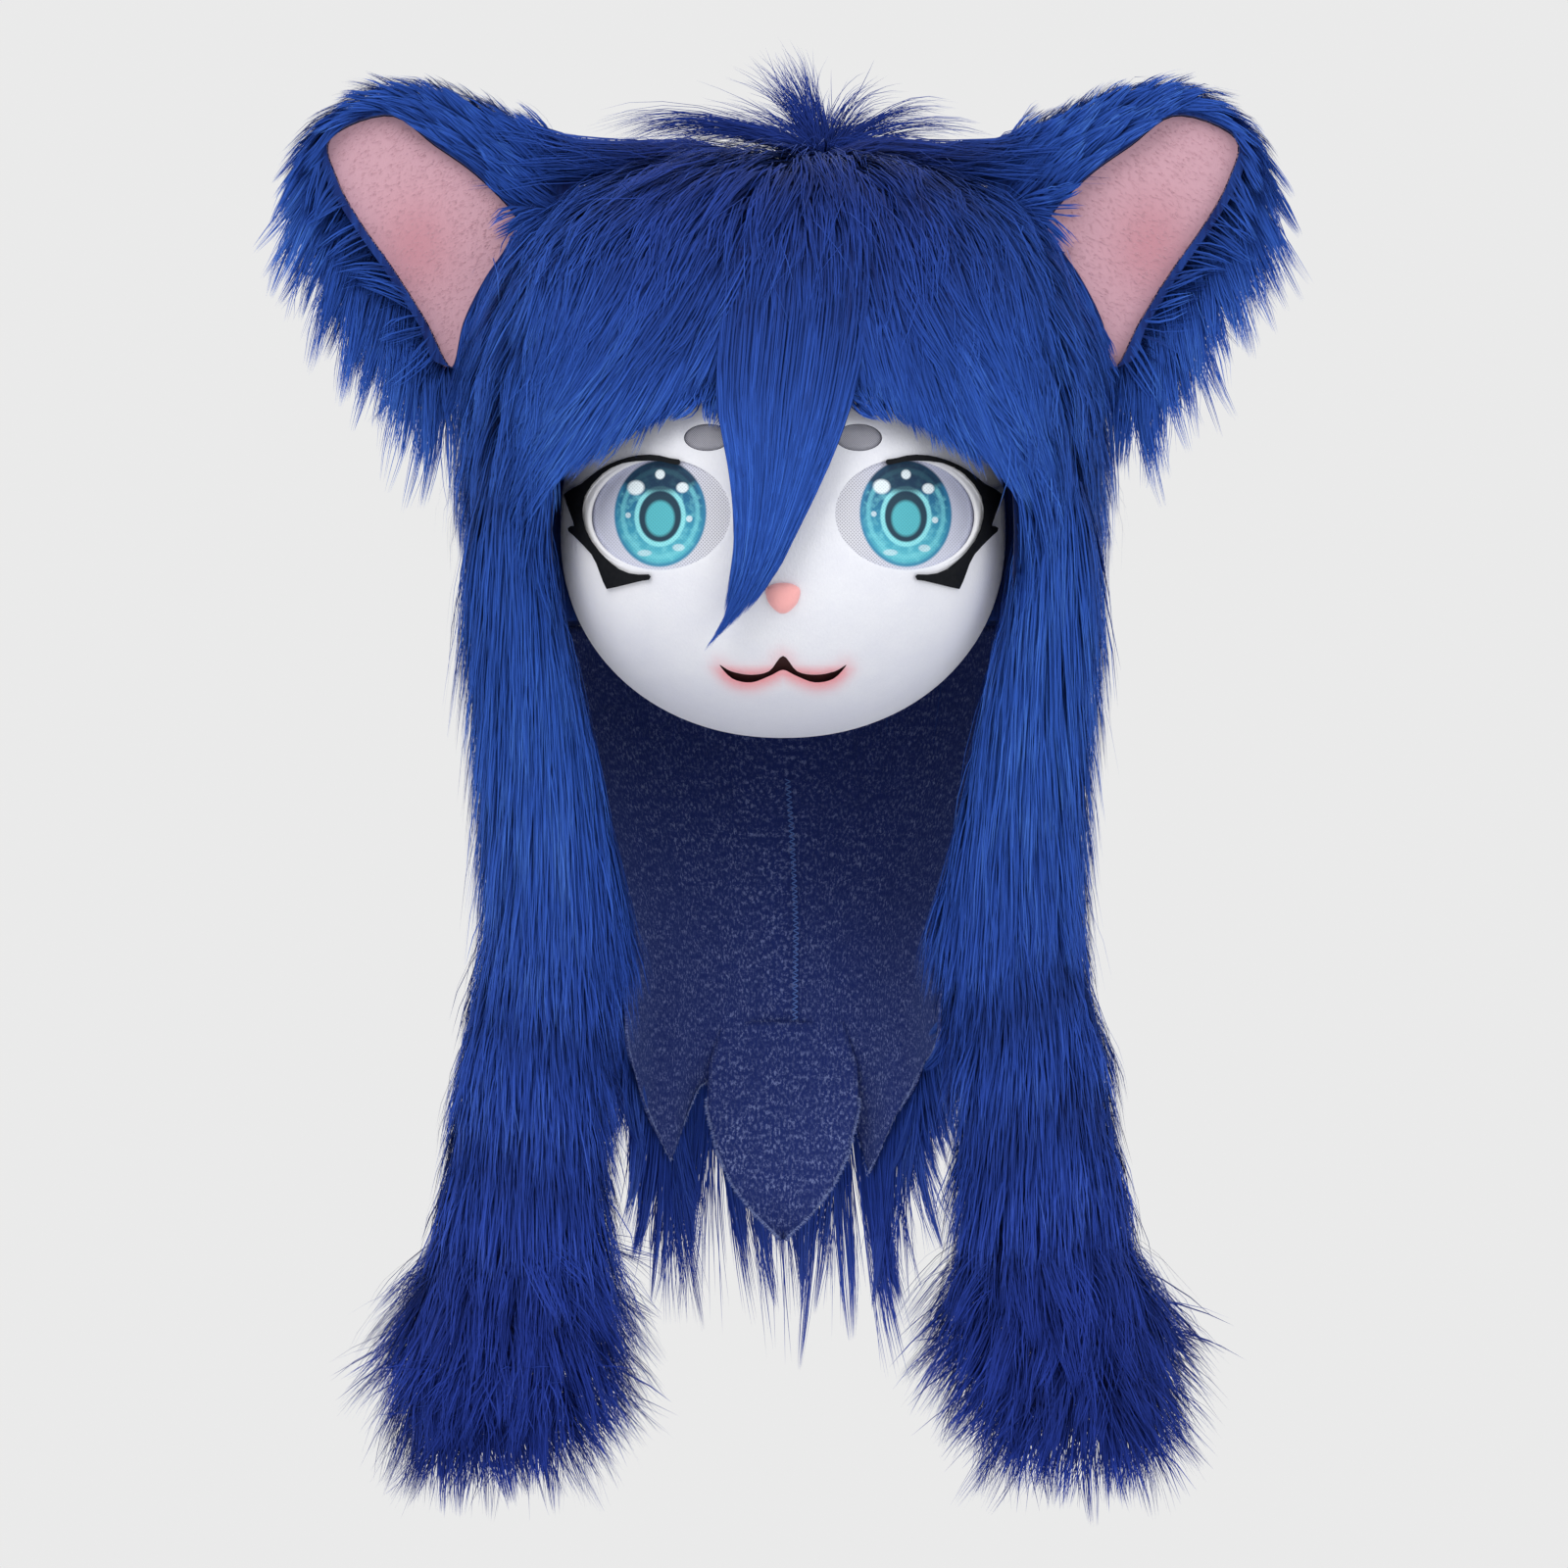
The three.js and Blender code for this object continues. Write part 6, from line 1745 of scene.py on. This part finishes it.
class StageOperator(bpy.types.Operator):
    """Pale floor, soft studio light and the camera"""
    bl_idname = "furhead.stage"
    bl_label = "Stage"

    def execute(self, context):
        scene = context.scene
        c = colours()
        bm = bmesh.new()
        bmesh.ops.create_circle(bm, cap_ends=True, segments=96, radius=FLOOR_RADIUS)
        bmesh.ops.translate(bm, verts=bm.verts[:], vec=(0, 0, FLOOR_LEVEL))
        n = Nodes("pale_floor")
        reach = n.add("ShaderNodeVectorMath", {"operation": "LENGTH"})
        flat = n.add("ShaderNodeMapping", Vector=n.place(), Scale=(1, 1, 0))
        n.feed(reach.inputs[0], flat.outputs[0])
        n.finish(n.mix(n.noise(n.place(), 3.0), c.stage, dim(c.stage, 0.97)), 0.9)
        n.feed(n.shader.inputs["Alpha"], n.span(reach.outputs["Value"], 0.5, 1.65, 1.0, 0.0))
        mesh = mesh_from(bm, "floor")
        mesh.materials.append(n.material)
        floor = bpy.data.objects.new("floor", mesh)
        context.collection.objects.link(floor)
        world = bpy.data.worlds.new("studio")
        world.use_nodes = True
        background = world.node_tree.nodes["Background"]
        background.inputs["Color"].default_value = (*c.stage, 1)
        background.inputs["Strength"].default_value = 1.03
        scene.world = world
        for light in LIGHTS:
            area_light(*light)
        data = bpy.data.cameras.new("camera")
        data.sensor_width = CAMERA_SENSOR
        data.lens = CAMERA_LENS
        camera = bpy.data.objects.new("camera", data)
        camera.location = CAMERA_PLACE
        camera.rotation_euler = (QUARTER_TURN, 0, 0)
        context.collection.objects.link(camera)
        scene.camera = camera
        scene.view_settings.view_transform = "Standard"
        return {"FINISHED"}


class FurHeadPanel(bpy.types.Panel):
    """Lists the pieces of the head and their sizes"""
    bl_label = "Fur Head"
    bl_idname = "VIEW3D_PT_fur_head"
    bl_space_type = "VIEW_3D"
    bl_region_type = "UI"
    bl_category = "Fur Head"

    def draw(self, context):
        for operator in OPERATORS:
            self.layout.operator(operator.bl_idname)
        for group in (context.scene.head_sizes, context.scene.hair_sizes, context.scene.head_colours):
            box = self.layout.box()
            for key in group.__annotations__:
                box.prop(group, key)


OPERATORS = (
    StageOperator, DomeOperator, FaceOperator, EyesOperator, NoseMouthOperator, DomeFurOperator,
    FringeOperator, TuftOperator, EarsOperator, LappetsOperator, NapeOperator,
)
GROUPS = (HeadSizes, HairSizes, HeadColours)


def register():
    for item in GROUPS + OPERATORS + (FurHeadPanel,):
        bpy.utils.register_class(item)
    bpy.types.Scene.head_sizes = PointerProperty(type=HeadSizes)
    bpy.types.Scene.hair_sizes = PointerProperty(type=HairSizes)
    bpy.types.Scene.head_colours = PointerProperty(type=HeadColours)


def unregister():
    del bpy.types.Scene.head_colours
    del bpy.types.Scene.hair_sizes
    del bpy.types.Scene.head_sizes
    for item in reversed(GROUPS + OPERATORS + (FurHeadPanel,)):
        bpy.utils.unregister_class(item)


def main():
    register()
    bpy.ops.furhead.stage()
    bpy.ops.furhead.dome()
    bpy.ops.furhead.face()
    bpy.ops.furhead.eyes()
    bpy.ops.furhead.nose_mouth()
    bpy.ops.furhead.dome_fur()
    bpy.ops.furhead.fringe()
    bpy.ops.furhead.tuft()
    bpy.ops.furhead.ears()
    bpy.ops.furhead.lappets()
    bpy.ops.furhead.nape()


if __name__ == "__main__":
    main()
